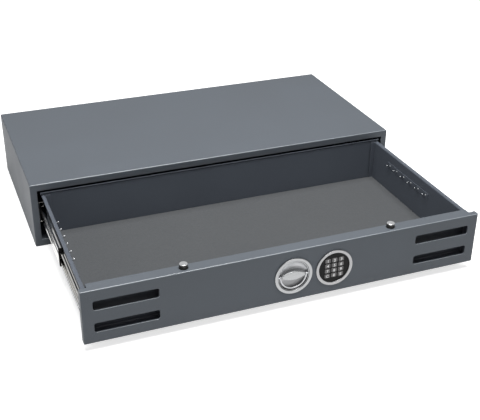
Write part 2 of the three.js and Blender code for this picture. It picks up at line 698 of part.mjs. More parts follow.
// Handle. The dish turns in the housing, the bail folds out of it, and the cam turns behind it.
function handleDish() {
  const outer = RING_INNER - DISH_CLEARANCE;
  const bowl = outer - DISH_RIM;
  const floorAt = BARREL_DEPTH - HOUSING_FLOOR - SEAM;
  const edge = DISH_EDGE;
  const profile = [
    ...DISH_BOWL_CURVE.map(([share, rise]) => [share * bowl, DISH_BOWL_DEPTH - rise]),
    [bowl, edge - DISH_PROUD], [bowl + edge, -DISH_PROUD],
    [outer - edge, -DISH_PROUD], [outer, edge - DISH_PROUD],
    [outer, floorAt], [0, floorAt],
  ];
  const x = GRIP_HALF_LENGTH;
  const z = GRIP_END_HALF_HEIGHT;
  const crown = 2 * GRIP_HALF_HEIGHT - z;
  const grip = new THREE.Shape();
  grip.moveTo(-x, -z);
  grip.quadraticCurveTo(0, -crown, x, -z);
  grip.lineTo(x, z);
  grip.quadraticCurveTo(0, crown, -x, z);
  const bar = alongY(grip, -GRIP_PROUD, DISH_BOWL_DEPTH + CUT_MARGIN, GRIP_STEPS);
  return turned(profile, 0, 0, FACETS_LARGE).add(bar);
}

function spindle() {
  return rodY(SPINDLE_RADIUS, BARREL_DEPTH - HOUSING_FLOOR - SEAM, SPINDLE_END, 0, 0, FACETS_MEDIUM);
}

// A slot whose radius shrinks evenly as the cam turns, so that the pin moves evenly
function camSlot(startAngle) {
  const shrink = BOLT_STROKE / HANDLE_TURN;
  const sides = [[], []];
  for (let i = 0; i <= CAM_SLOT_STEPS; i += 1) {
    const turn = (HANDLE_TURN + 2 * CAM_SLOT_OVERRUN) * i / CAM_SLOT_STEPS - CAM_SLOT_OVERRUN;
    const radius = CAM_PIN_START - shrink * turn;
    const across = pinSlotHalf / Math.hypot(radius, shrink);
    const angle = startAngle + turn;
    const out = new THREE.Vector2(Math.cos(angle), Math.sin(angle));
    const along = new THREE.Vector2(-out.y, out.x);
    for (const [k, sign] of [[0, 1], [1, -1]]) {
      const point = out.clone().multiplyScalar(radius + sign * across * radius);
      point.addScaledVector(along, sign * across * shrink);
      sides[k].push([point.x, point.y]);
    }
  }
  return outline([...sides[0], ...sides[1].reverse()]);
}

function scrollCam() {
  const end = CAM_FRONT + CAM_THICKNESS;
  const disc = rodY(CAM_RADIUS, CAM_FRONT, end, 0, 0, FACETS_LARGE);
  const cutStart = CAM_FRONT - CUT_MARGIN;
  const cutEnd = end + CUT_MARGIN;
  const bore = rodY(SPINDLE_RADIUS + PIN_CLEARANCE, cutStart, cutEnd, 0, 0, FACETS_MEDIUM);
  const ends = [];
  for (const start of [0, Math.PI]) {
    ends.push(alongY(camSlot(start), cutStart, cutEnd));
    for (const turn of [0, HANDLE_TURN]) {
      const radius = CAM_PIN_START - BOLT_STROKE * turn / HANDLE_TURN;
      const x = radius * Math.cos(start + turn);
      const z = radius * Math.sin(start + turn);
      ends.push(rodY(pinSlotHalf + PIN_CLEARANCE, cutStart, cutEnd, x, z, FACETS_MEDIUM));
    }
  }
  return disc.subtract(bore).subtract(union(ends));
}

const bailAxisDepth = (BAIL_FRONT + BAIL_BACK) / 2;

function bailPin(side) {
  const from = GRIP_HALF_LENGTH + PIVOT_CLEARANCE;
  const to = RING_INNER - DISH_CLEARANCE - DISH_RIM - PIVOT_CLEARANCE;
  return rodX(BAIL_PIN_RADIUS, side * from, side * to, bailAxisDepth, 0, FACETS_SMALL);
}

function bail() {
  const ring = new THREE.Shape();
  ring.absarc(0, 0, BAIL_OUTER, Math.PI, 2 * Math.PI, false);
  ring.absarc(0, 0, BAIL_INNER, 2 * Math.PI, Math.PI, true);
  const across = (radius, x0, x1) => rodX(radius, x0, x1, bailAxisDepth, 0, FACETS_SMALL);
  const eyes = [-1, 1].map((side) => across(BAIL_EYE_RADIUS, side * BAIL_INNER, side * BAIL_OUTER));
  const holeRadius = BAIL_PIN_RADIUS + PIVOT_CLEARANCE;
  const holes = [-1, 1].map((side) => across(
    holeRadius, side * (BAIL_INNER - CUT_MARGIN), side * (BAIL_OUTER + CUT_MARGIN)));
  return union([alongY(ring, BAIL_FRONT, BAIL_BACK, BAIL_STEPS), ...eyes]).subtract(union(holes));
}

function driveBar(side) {
  const strip = (x0, x1, half) => block(
    side * x0, side * x1, BAR_FRONT, barBack, LOCK_HEIGHT - half, LOCK_HEIGHT + half);
  const plateX1 = boltX + BOLT_STROKE + BAR_PLATE_MARGIN;
  const body = union([
    strip(CAM_PIN_START - BAR_INNER_MARGIN, plateX1, BAR_HALF_HEIGHT),
    strip(boltX - BAR_PLATE_MARGIN, plateX1, BAR_PLATE_HALF_HEIGHT),
  ]);
  const diagonal = pinSlotHalf / Math.SQRT2;
  const ends = [[boltX, boltPinHeight], [boltX + BOLT_STROKE, boltPinHeight - BOLT_STROKE]];
  const slot = outline([
    [ends[0][0] + diagonal, ends[0][1] + diagonal], [ends[0][0] - diagonal, ends[0][1] - diagonal],
    [ends[1][0] - diagonal, ends[1][1] - diagonal], [ends[1][0] + diagonal, ends[1][1] + diagonal],
  ].map(([x, z]) => [side * x, z]));
  const cutStart = BAR_FRONT - CUT_MARGIN;
  const cutEnd = barBack + CUT_MARGIN;
  const cuts = [alongY(slot, cutStart, cutEnd)];
  for (const [x, z] of ends) {
    cuts.push(rodY(pinSlotHalf + PIN_CLEARANCE, cutStart, cutEnd, side * x, z, FACETS_MEDIUM));
  }
  const camPinX = side * CAM_PIN_START;
  const camPin = rodY(PIN_RADIUS, CAM_FRONT + SEAM, barBack, camPinX, LOCK_HEIGHT, FACETS_MEDIUM);
  return body.subtract(union(cuts)).add(camPin);
}

function lockingBolt(side) {
  const x = side * boltX;
  const top = panelTop + BOLT_PROUD;
  const bottom = floorTop + BOLT_STROKE + BOLT_FOOT_GAP;
  const profile = [
    [0, bottom], [BOLT_RADIUS, bottom], [BOLT_RADIUS, top - BOLT_CHAMFER],
    [BOLT_RADIUS - BOLT_CHAMFER, top], [0, top],
  ];
  const round = rodZ(profile, x, BOLT_SETBACK, FACETS_MEDIUM);
  const reach = BOLT_RADIUS + CUT_MARGIN;
  const flatAt = BAR_FRONT - BOLT_FLAT_GAP;
  const flat = block(x - reach, x + reach, flatAt, BOLT_SETBACK + reach, bottom - CUT_MARGIN, boltFlatTop);
  const pin = rodY(PIN_RADIUS, BOLT_SETBACK, barBack + BOLT_FLAT_GAP, x, boltPinHeight, FACETS_MEDIUM);
  return round.subtract(flat).add(pin);
}

// Assembly
const casing = new THREE.Group();
const drawer = new THREE.Group();
const middles = new THREE.Group();
const handle = new THREE.Group();
drawer.position.y = front - TRAVEL;
middles.position.y = -TRAVEL / 2;
handle.position.z = LOCK_HEIGHT;
drawer.add(handle);

const overlapAtRest = slideLength - TRAVEL / 2;
const outerCageCentre = slideStart + overlapAtRest / 2;
const innerCageCentre = outerCageCentre - TRAVEL / 2;
const outerCageWeb = SLIDE_SHEET + CAGE_GAP;
const innerCageWeb = middleWeb + outerCageWeb;

casing.add(
  node('casing_shell', casingShell(), paint),
  node('casing_base', casingBase(), paint),
  node('casing_back', casingBack(), paint),
  node('front_frame', frontFrame(), paint),
  node('strike_rail', strikeRail(), zinc),
  node('rear_buffer', rearBuffer(), rubber),
);
for (const [side, hand] of [[-1, 'left'], [1, 'right']]) {
  const outerCage = ballCage(side, middleHalf, outerCageWeb, outerCageCentre);
  const innerCage = ballCage(side, innerHalf, innerCageWeb, innerCageCentre);
  casing.add(
    node(`slide_bracket_${hand}`, slideBracket(side), zinc),
    node(`slide_outer_${hand}`, slideOuter(side), zinc),
    node(`ball_cage_outer_${hand}`, outerCage, zinc),
    node(`ball_cage_inner_${hand}`, innerCage, zinc),
  );
  middles.add(
    node(`slide_middle_${hand}`, slideMiddle(side), zinc),
    node(`slide_end_${hand}`, slideEnd(side), blackPlastic),
  );
  drawer.add(
    node(`slide_inner_${hand}`, slideInner(side), zinc),
    node(`drawer_wall_${hand}`, drawerWall(side), paint),
    node(`slot_pan_${hand}`, slotPan(side), paintDark),
    node(`drive_bar_${hand}`, driveBar(side), zinc),
    node(`locking_bolt_${hand}`, lockingBolt(side), chrome),
    node(`bolt_guide_${hand}`, boltGuide(side), zinc),
    node(`key_rail_${hand}`, keyRail(side), paintDark),
  );
}
drawer.add(
  node('drawer_floor', drawerFloor(), paint),
  node('drawer_back', drawerBack(), paint),
  node('floor_mat', floorMat(), felt),
  node('front_panel', frontPanel(), paint),
  node('lock_cover', lockCover(), paint),
  node('handle_housing', handleHousing(), satinChrome),
  node('keypad_ring', keypadRing(), satinChrome),
  node('keypad_body', keypadBody(), blackPlastic),
  node('lock_body', lockBody(), zinc),
  node('lock_chassis', lockChassis(), zinc),
);
handle.add(
  node('handle_dish', handleDish(), satinChrome),
  node('handle_spindle', spindle(), zinc),
  node('scroll_cam', scrollCam(), zinc),
  node('bail_pin_left', bailPin(-1), chrome),
  node('bail_pin_right', bailPin(1), chrome),
  node('handle_bail', bail(), satinChrome),
);
KEY_NAMES.forEach((names, row) => names.forEach((name, column) => {
  drawer.add(node(name, keypadKey(column, row), blackPlastic));
}));

const safe = new THREE.Group();
safe.add(casing, middles, drawer);

export default safe;
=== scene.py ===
# %% [markdown]
# # A drawer safe for the underside of a desk
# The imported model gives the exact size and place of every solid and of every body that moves.
# This script builds a finished piece for each solid that shows, gives it its finish, and lets it
# ride on the body that it belongs to. A sheet metal box looks real when its folds are round, its
# raw edges are broken and its coating has a little texture, so most cells below are about those.

import math

import bmesh
import bpy
from mathutils import Matrix, Vector


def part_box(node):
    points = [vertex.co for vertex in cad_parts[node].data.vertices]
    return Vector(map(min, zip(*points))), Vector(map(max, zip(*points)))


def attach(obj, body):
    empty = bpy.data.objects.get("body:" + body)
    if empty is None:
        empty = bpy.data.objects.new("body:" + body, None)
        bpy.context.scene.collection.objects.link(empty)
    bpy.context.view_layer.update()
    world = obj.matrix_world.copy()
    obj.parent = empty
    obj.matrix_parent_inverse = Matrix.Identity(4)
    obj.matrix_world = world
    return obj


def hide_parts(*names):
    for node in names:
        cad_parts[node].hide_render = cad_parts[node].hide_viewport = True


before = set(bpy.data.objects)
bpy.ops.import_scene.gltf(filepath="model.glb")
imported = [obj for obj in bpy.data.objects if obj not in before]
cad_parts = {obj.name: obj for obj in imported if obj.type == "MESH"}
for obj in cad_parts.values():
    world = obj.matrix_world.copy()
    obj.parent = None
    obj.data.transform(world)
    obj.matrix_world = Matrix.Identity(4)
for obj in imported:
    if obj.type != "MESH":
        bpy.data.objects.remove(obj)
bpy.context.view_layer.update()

# %% [markdown]
# ## Units, directions and shared places
# Drawings of sheet metal are in millimetres and Blender is in metres, so each size below is
# written in millimetres and multiplied once. The drawer has its own depth count, from the face of
# its front panel backwards, because everything in it is placed from that face.

# %% Units and places
MM = 0.001
ALONG_X = Vector((1, 0, 0))
ALONG_Y = Vector((0, 1, 0))
ALONG_Z = Vector((0, 0, 1))
HANDS = (("left", -1), ("right", 1))

casing_low, casing_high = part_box("casing_shell")
frame_low, frame_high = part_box("front_frame")
panel_low, panel_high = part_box("front_panel")
dish_low, dish_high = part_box("handle_dish")
ring_low, ring_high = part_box("keypad_ring")
drawer_front = panel_low.y
lock_height = (dish_low.z + dish_high.z) / 2
keypad_x = (ring_low.x + ring_high.x) / 2
print("the drawer's face is at", round(drawer_front, 4), "and the keypad at", round(keypad_x, 4))

# %% [markdown]
# ## The camera
# The photograph was taken from the front left, above the safe. The camera's place, turn and lens
# come from a fit to the lines that it shows best: the casing's edges, the opening and the panel.

# %% Place the camera
CAMERA_PLACE = Vector((-0.7051, -2.1606, 1.1254))
CAMERA_AZIMUTH = math.radians(-21.5385)
CAMERA_ELEVATION = math.radians(28.5029)
CAMERA_ROLL = math.radians(0.5017)
PHOTO_WIDTH = 480
FOCAL_PIXELS = 892.57
SENSOR_WIDTH = 36
SIGHT = 50


def add_object(name, data):
    """Puts new data into the scene as an object."""
    made = bpy.data.objects.new(name, data)
    bpy.context.scene.collection.objects.link(made)
    return made


camera_data = bpy.data.cameras.new("camera")
camera = add_object("camera", camera_data)
bpy.context.scene.camera = camera
camera_data.sensor_width = SENSOR_WIDTH
camera_data.lens = FOCAL_PIXELS * SENSOR_WIDTH / PHOTO_WIDTH
camera_data.clip_end = SIGHT
backwards = Vector((
    math.sin(CAMERA_AZIMUTH) * math.cos(CAMERA_ELEVATION),
    -math.cos(CAMERA_AZIMUTH) * math.cos(CAMERA_ELEVATION),
    math.sin(CAMERA_ELEVATION),
))
level = (-backwards).to_track_quat("-Z", "Y").to_matrix()
camera.matrix_world = Matrix.Translation(CAMERA_PLACE) @ (
    level @ Matrix.Rotation(CAMERA_ROLL, 3, "Z")).to_4x4()
print("lens", round(camera_data.lens, 2), "mm")

# %% [markdown]
# ## Floor and light
# A product picture on white needs light from large soft sources, so that no shadow has a hard
# edge and metal has something pale to mirror. One wide lamp hangs above, one stands to the left,
# and a weak one fills the front. The floor is near white, and what the camera sees of it
# is lifted a little, so that it meets the paper white of the picture but keeps the shadow. What
# metal mirrors of the floor is lifted too, by a little less.

# %% Colours written as a screen shows them
def screen_colour(shade, factor=1.0, lift=0.0):
    """Turns 0 to 255 screen values, made lighter or darker, into a shader's linear colour.

    The numbers are those of the curve that every screen follows."""
    def linear(value):
        share = min(255, value * factor + lift) / 255
        return share / 12.92 if share <= 0.04045 else ((share + 0.055) / 1.055) ** 2.4
    return (*map(linear, shade), 1.0)


# %% A short way to add a node
def fill(tree, socket, value):
    """Links an input to another node's answer, or sets its value."""
    if isinstance(value, bpy.types.NodeSocket):
        tree.links.new(value, socket)
    else:
        socket.default_value = value


def add_node(tree, kind, settings=(), **inputs):
    """Adds a node, sets its options, and sets or links its inputs by name."""
    made = tree.nodes.new(kind)
    for option, value in dict(settings).items():
        setattr(made, option, value)
    for name, value in inputs.items():
        fill(tree, made.inputs[name.replace("_", " ")], value)
    return made


def calculate(tree, operation, *values, kind="ShaderNodeMath"):
    """A Math node's answer, from numbers or sockets."""
    made = add_node(tree, kind, {"operation": operation})
    for socket, value in zip(made.inputs, values):
        fill(tree, socket, value)
    return made.outputs["Value"]


def in_metal(tree, path):
    """One for a ray that metal or glass sends on, and else nought."""
    glossy, through = path.outputs["Is Glossy Ray"], path.outputs["Is Transmission Ray"]
    return calculate(tree, "MAXIMUM", glossy, through)


def empty_tree(owner):
    owner.use_nodes = True
    owner.node_tree.nodes.clear()
    return owner.node_tree


# %% Floor
FLOOR_HALF = 14.0
FLOOR_PAPER = (212, 212, 212)
FLOOR_LIFT = 0.7
MIRRORED_LIFT_SHARE = 0.85

floor_mesh = bmesh.new()
bmesh.ops.create_grid(floor_mesh, x_segments=1, y_segments=1, size=FLOOR_HALF)
floor_data = bpy.data.meshes.new("floor")
floor_mesh.to_mesh(floor_data)
floor_mesh.free()
floor = add_object("floor", floor_data)

floor_paper = bpy.data.materials.new("floor_paper")
tree = empty_tree(floor_paper)
path = add_node(tree, "ShaderNodeLightPath")
seen = calculate(tree, "MULTIPLY", in_metal(tree, path), MIRRORED_LIFT_SHARE)
seen = calculate(tree, "MAXIMUM", path.outputs["Is Camera Ray"], seen)
paper = add_node(tree, "ShaderNodeBsdfDiffuse", Color=screen_colour(FLOOR_PAPER))
lift = add_node(tree, "ShaderNodeEmission", Strength=calculate(tree, "MULTIPLY", seen, FLOOR_LIFT))
both = tree.nodes.new("ShaderNodeAddShader")
tree.links.new(paper.outputs[0], both.inputs[0])
tree.links.new(lift.outputs[0], both.inputs[1])
add_node(tree, "ShaderNodeOutputMaterial", Surface=both.outputs[0])
floor_data.materials.append(floor_paper)
print("floor", 2 * FLOOR_HALF, "m wide")

# %% World and lamps
WORLD_AMBIENT = 0.21
WORLD_MIRRORED = 0.88
LAMPS = (
    ("lamp_above", (0.0, -0.7, 2.5), (0.0, -0.35, 0.0), 2.0, 120),
    ("lamp_left", (-2.9, -1.3, 1.0), (0.0, -0.2, 0.1), 1.6, 9),
    ("lamp_front", (2.2, -3.0, 1.2), (0.3, -0.4, 0.1), 1.8, 2.5),
)

world = bpy.data.worlds.new("studio")
bpy.context.scene.world = world
tree = empty_tree(world)
path = add_node(tree, "ShaderNodeLightPath")
strength = calculate(
    tree, "MULTIPLY_ADD", in_metal(tree, path), WORLD_MIRRORED - WORLD_AMBIENT, WORLD_AMBIENT)
strength = calculate(tree, "MAXIMUM", strength, path.outputs["Is Camera Ray"])
sky = add_node(tree, "ShaderNodeBackground", Strength=strength)
add_node(tree, "ShaderNodeOutputWorld", Surface=sky.outputs[0])
for name, place, target, size, power in LAMPS:
    lamp_data = bpy.data.lights.new(name, "AREA")
    lamp_data.size = size
    lamp_data.energy = power
    lamp = add_object(name, lamp_data)
    lamp.location = place
    lamp.rotation_euler = (Vector(target) - Vector(place)).to_track_quat("-Z", "Y").to_euler()
bpy.context.scene.view_settings.view_transform = "Standard"
print(len(LAMPS), "lamps")

# %% [markdown]
# ## Effects that several finishes share
# Powder coat, moulded plastic, plated steel and felt differ in colour and gloss, but they share a
# few effects: a fine grain, slow cloudiness, lines left by rolling or turning, and edges where the
# coat is thin, made paler as wear and as a painted highlight. Each effect is a node group, so a
# finish is only a shader and a few values.
# They read Object coordinates, which here are the real metres of the row frame.

# %% Start and end a node group
def new_group(name, inputs):
    """A group with float sockets, or a vector one where no value is given, and one answer."""
    tree = bpy.data.node_groups.new(name, "ShaderNodeTree")
    for socket, value in inputs:
        kind = "NodeSocketVector" if value is None else "NodeSocketFloat"
        made = tree.interface.new_socket(socket, in_out="INPUT", socket_type=kind)
        if value is not None:
            made.default_value = value
    tree.interface.new_socket("Answer", in_out="OUTPUT", socket_type="NodeSocketFloat")
    return tree, tree.nodes.new("NodeGroupInput").outputs


def end_group(tree, answer):
    tree.links.new(answer, tree.nodes.new("NodeGroupOutput").inputs[0])
    return tree


# %% Grain: a fine pebble over a finer one
FINER = 3.1
FINE_SHARE = 0.35
GRAIN_LEVEL = 0.74
tree, given = new_group("grain", [("Vector", None), ("Per metre", 600.0), ("Roundness", 0.5)])
coarse = add_node(tree, "ShaderNodeTexNoise", Vector=given["Vector"], Scale=given["Per metre"],
                  Detail=2.0, Roughness=given["Roundness"])
fine_scale = calculate(tree, "MULTIPLY", given["Per metre"], FINER)
fine = add_node(tree, "ShaderNodeTexNoise", Vector=given["Vector"], Scale=fine_scale, Detail=1.0)
height = calculate(tree, "MULTIPLY_ADD", fine.outputs["Fac"], FINE_SHARE, coarse.outputs["Fac"])
grain_group = end_group(tree, calculate(tree, "MULTIPLY", height, GRAIN_LEVEL))

# %% Clouds: slow variation of tone, with a contrast
tree, given = new_group("clouds", [("Vector", None), ("Per metre", 6.0), ("Contrast", 1.0)])
slow = add_node(tree, "ShaderNodeTexNoise", Vector=given["Vector"], Scale=given["Per metre"],
                Detail=4.0, Roughness=0.55, Distortion=0.4)
centred = calculate(tree, "SUBTRACT", slow.outputs["Fac"], 0.5)
spread = calculate(tree, "MULTIPLY_ADD", centred, given["Contrast"], 0.5)
clouds_group = end_group(tree, add_node(tree, "ShaderNodeClamp", Value=spread).outputs[0])

# %% Drawn lines: rolled sheet shows fine lines along one direction
tree, given = new_group(
    "drawn_lines", [("Vector", None), ("Across per metre", 1500.0), ("Along per metre", 12.0)])
parts = add_node(tree, "ShaderNodeSeparateXYZ", Vector=given["Vector"]).outputs
squeezed = add_node(
    tree, "ShaderNodeCombineXYZ",
    X=calculate(tree, "MULTIPLY", parts["X"], given["Across per metre"]),
    Y=calculate(tree, "MULTIPLY", parts["Y"], given["Along per metre"]),
    Z=calculate(tree, "MULTIPLY", parts["Z"], given["Across per metre"]))
lines = add_node(tree, "ShaderNodeTexNoise", Vector=squeezed.outputs[0], Scale=1.0, Detail=3.0,
                 Roughness=0.6)
drawn_group = end_group(tree, lines.outputs["Fac"])

# %% Turned lines: a ring polished on a lathe shows fine circles round its middle
tree, given = new_group("turned_lines", [("Vector", None), ("Per metre", 2600.0), ("Round", 1.6)])
parts = add_node(tree, "ShaderNodeSeparateXYZ", Vector=given["Vector"]).outputs
flat = add_node(tree, "ShaderNodeCombineXYZ", X=parts["X"], Z=parts["Z"])
radius = calculate(tree, "LENGTH", flat.outputs[0], kind="ShaderNodeVectorMath")
wrapped = calculate(tree, "SINE", calculate(tree, "ARCTAN2", parts["Z"], parts["X"]))
polar = add_node(
    tree, "ShaderNodeCombineXYZ",
    X=calculate(tree, "MULTIPLY", radius, given["Per metre"]),
    Y=calculate(tree, "MULTIPLY", wrapped, given["Round"]),
    Z=calculate(tree, "MULTIPLY", parts["Y"], given["Per metre"]))
circles = add_node(tree, "ShaderNodeTexNoise", Vector=polar.outputs[0], Scale=1.0, Detail=2.0)
turned_group = end_group(tree, circles.outputs["Fac"])

# %% Edges: where a face turns over an edge the coat is thin and polished, and a painted highlight
tree, given = new_group("edges", [("Reach", 0.0015), ("Sharpness", 6.0)])
softened = add_node(tree, "ShaderNodeBevel", {"samples": 4}, Radius=given["Reach"])
surface = tree.nodes.new("ShaderNodeNewGeometry")
agreement = calculate(tree, "DOT_PRODUCT", softened.outputs[0], surface.outputs["Normal"],
                      kind="ShaderNodeVectorMath")
turned_away = calculate(tree, "SUBTRACT", 1.0, agreement)
turned_away = calculate(tree, "MULTIPLY", turned_away, given["Sharpness"])
edges_group = end_group(tree, add_node(tree, "ShaderNodeClamp", Value=turned_away).outputs[0])
print("groups:", ", ".join(g.name for g in bpy.data.node_groups))

# %% [markdown]
# ## Finishes
# Each finish below starts the same way: a Principled shader, Object coordinates, a base colour
# that two tones mix to, a roughness range and a bump. What makes one finish differ from the next
# is which effect drives the mix and how strong the bump is. A finish that comes in several
# shades has a function of its own.

# %% Start a finish, and end it
def new_finish(name, centre=(0, 0, 0), **plain):
    """A material with a Principled shader; returns it with its tree, its shader and a position."""
    material = bpy.data.materials.new(name)
    material.use_nodes = True
    tree = material.node_tree
    shader = tree.nodes["Principled BSDF"]
    for socket, value in plain.items():
        shader.inputs[socket.replace("_", " ")].default_value = value
    place = add_node(tree, "ShaderNodeTexCoord").outputs["Object"]
    mapped = add_node(tree, "ShaderNodeMapping", Vector=place, Location=[-c for c in centre])
    return material, tree, shader, mapped.outputs[0]


def use_group(tree, group, **inputs):
    """A shared effect's answer."""
    return add_node(tree, "ShaderNodeGroup", {"node_tree": group}, **inputs).outputs[0]


def mix_colour(tree, share, first, second):
    """A colour between two, from a share that is a socket."""
    made = add_node(tree, "ShaderNodeMix", {"data_type": "RGBA"}, Factor=share)
    colours = [socket for socket in made.inputs if socket.type == "RGBA"]
    for socket, value in zip(colours, (first, second)):
        fill(tree, socket, value)
    return next(socket for socket in made.outputs if socket.type == "RGBA")


def share_above(tree, value, start, gain, most):
    """How far a value is above a start, times a gain, up to a most."""
    share = calculate(tree, "MULTIPLY", calculate(tree, "SUBTRACT", value, start), gain)
    return add_node(tree, "ShaderNodeClamp", Value=share, Max=most).outputs[0]


def dress(tree, shader, tone, share, low, high, height=None, distance=0.0, strength=1.0):
    """Gives the shader a colour, a roughness from low to high, and a bump where one is given."""
    tree.links.new(tone, shader.inputs["Base Color"])
    roughness = calculate(tree, "MULTIPLY_ADD", share, high - low, low)
    tree.links.new(roughness, shader.inputs["Roughness"])
    if height is not None:
        bump = add_node(tree, "ShaderNodeBump", Height=height, Distance=distance, Strength=strength)
        tree.links.new(bump.outputs[0], shader.inputs["Normal"])


# %% Powder coat: anthracite, satin, with the faint pebble that baked powder has
CLOUD_DARK, CLOUD_LIGHT = 0.965, 1.035
COAT_WORN_AND_HIGHLIT_FACTOR, COAT_WORN_AND_HIGHLIT_LIFT = 1.22, 6
COAT_EDGE_WEAR_AND_HIGHLIGHT = 0.55


def powder_coat(name, shade, pebble=0.00006, gloss=0.34, low=0.44, high=0.58):
    """shade is the coat's screen colour. Edges are a tone lighter: thin powder and a painted
    highlight.
    """
    material, tree, shader, place = new_finish(name, Specular_IOR_Level=gloss)
    grain = use_group(tree, grain_group, Vector=place, Per_metre=520.0)
    clouds = use_group(tree, clouds_group, Vector=place, Per_metre=5.0, Contrast=1.6)
    edges = use_group(tree, edges_group, Reach=0.0014, Sharpness=5.0)
    coat_worn_and_highlit = screen_colour(shade, COAT_WORN_AND_HIGHLIT_FACTOR, COAT_WORN_AND_HIGHLIT_LIFT)
    dark, light = screen_colour(shade, CLOUD_DARK), screen_colour(shade, CLOUD_LIGHT)
    tone = mix_colour(tree, clouds, dark, light)
    tone = mix_colour(tree, share_above(tree, grain, start=0.5, gain=0.5, most=0.3), tone, coat_worn_and_highlit)
    tone = mix_colour(tree, calculate(tree, "MULTIPLY", edges, COAT_EDGE_WEAR_AND_HIGHLIGHT), tone, coat_worn_and_highlit)
    dress(tree, shader, tone, clouds, low, high, grain, pebble)
    return material


coat = powder_coat("powder_coat", (80, 85, 91), gloss=0.23)
# A lighter coat for the round of the front folds: a painted highlight.
fold_highlight_coat = powder_coat("powder_coat_painted_highlight_on_folds", (124, 130, 136), pebble=0.00002, gloss=0.8,
                        low=0.26, high=0.36)
# A shade darker than the outer coat: painted shade for the inside of the drawer.
shaded_inner_coat = powder_coat("inner_powder_coat_painted_shade", (77, 82, 90), gloss=0.22)
# Much darker than the outer coat: painted shade for the pans seen through the slots.
shaded_tray_coat = powder_coat("tray_powder_coat_painted_shade", (52, 55, 62))
print("powder coats:", ", ".join(made.name for made in (coat, fold_highlight_coat, shaded_inner_coat, shaded_tray_coat)))

# %% Zinc plate: bright rolled steel with a faint blue cast and drawn lines along its length
ZINC_DARK, WARM_GREEN, WARM_BLUE = 0.93, 0.985, 0.94


def zinc_plate(name, shade, lines_along="Y", low=0.05, high=0.14):
    """Rolled steel whose lines run along Y, or along X where the part lies across."""
    material, tree, shader, place = new_finish(name, Metallic=1.0)
    if lines_along == "X":
        across = add_node(tree, "ShaderNodeMapping", Vector=place, Rotation=(0, 0, math.pi / 2))
        place = across.outputs[0]
    lines = use_group(tree, drawn_group, Vector=place, Across_per_metre=1300.0, Along_per_metre=9.0)
    clouds = use_group(tree, clouds_group, Vector=place, Per_metre=26.0, Contrast=1.8)
    red, green, blue = shade
    warm = screen_colour((red, green * WARM_GREEN, blue * WARM_BLUE))
    tone = mix_colour(tree, clouds, screen_colour(shade, ZINC_DARK), warm)
    dress(tree, shader, tone, lines, low, high, lines, distance=0.00004, strength=0.8)
    return material


zinc = zinc_plate("zinc_plate", (214, 215, 218))
zinc_across = zinc_plate("zinc_plate_across", (205, 207, 211), "X", low=0.16, high=0.3)
# A dark copy of the zinc: painted shade and dark reflection, for parts inside the casing.
shaded_zinc = zinc_plate("zinc_plate_painted_shade", (50, 51, 54), low=0.3, high=0.5)
# A bright copy for the outer members' cut lip ends: a painted highlight.
sawn_end_highlight = zinc_plate("sawn_end_highlight", (236, 236, 238), "X", low=0.3, high=0.45)

# %% Satin chrome: lathe circles under a thin bright plate
# Painted shade in a dish's lower half starts at the first height and is full at the second.
SHADE_START, SHADE_FULL = 4 * MM, -16 * MM


def satin_chrome(name, shade, centre, low=0.2, high=0.34, below=1.0):
    """below is how much of the tone stays in the lower half, which is darkened as a painted shade.
    """
    material, tree, shader, place = new_finish(name, centre, Metallic=1.0)
    circles = use_group(tree, turned_group, Vector=place, Per_metre=2200.0, Round=1.2)
    clouds = use_group(tree, clouds_group, Vector=place, Per_metre=60.0, Contrast=1.2)
    tone = mix_colour(tree, clouds, screen_colour(shade, CLOUD_DARK), screen_colour(shade))
    height = add_node(tree, "ShaderNodeSeparateXYZ", Vector=place).outputs["Z"]
    lower_shade = add_node(tree, "ShaderNodeMapRange", Value=height,
                    From_Min=SHADE_START, From_Max=SHADE_FULL)
    tone = mix_colour(tree, lower_shade.outputs["Result"], tone, screen_colour(shade, below))
    dress(tree, shader, tone, circles, low, high, circles, distance=0.00003, strength=0.7)
    return material


handle_centre = (0, drawer_front, lock_height)
keypad_centre = (keypad_x, drawer_front, lock_height)
handle_satin = satin_chrome("handle_satin_chrome", (153, 154, 155), handle_centre)
# The bowl is darker towards its bottom, a painted shade.
bowl_satin = satin_chrome("bowl_satin_chrome", (190, 191, 193), handle_centre,
                          low=0.32, high=0.46, below=0.68)
bail_satin = satin_chrome("bail_satin_chrome", (166, 167, 169), handle_centre, low=0.18, high=0.3)
keypad_satin = satin_chrome("keypad_satin_chrome", (148, 148, 149), keypad_centre)

# %% Bright chrome: nearly a mirror, with the faintest clouding from handling
chrome, tree, shader, place = new_finish("bright_chrome", Metallic=1.0)
clouds = use_group(tree, clouds_group, Vector=place, Per_metre=90.0, Contrast=1.5)
tone = mix_colour(tree, clouds, screen_colour((206, 208, 211)), screen_colour((222, 223, 225)))
dress(tree, shader, tone, clouds, low=0.05, high=0.12)

# %% Race grease and painted shade: a thin dark film where balls run, and painted shade elsewhere
grease_and_shade, tree, shader, place = new_finish("race_grease_and_painted_shade", Specular_IOR_Level=0.45)
streaks = use_group(tree, drawn_group, Vector=place, Across_per_metre=700.0, Along_per_metre=14.0)
tone = mix_colour(tree, streaks, screen_colour((16, 15, 14)), screen_colour((44, 42, 40)))
dress(tree, shader, tone, streaks, low=0.3, high=0.55, height=streaks, distance=0.00005)

# %% Moulded plastic: black, with the spark-eroded texture of its mould
PLASTIC_DARK = 0.85
PLASTIC_WORN_AND_HIGHLIT_FACTOR, PLASTIC_WORN_AND_HIGHLIT_LIFT = 1.5, 14
PLASTIC_EDGE_WEAR_AND_HIGHLIGHT = 0.35


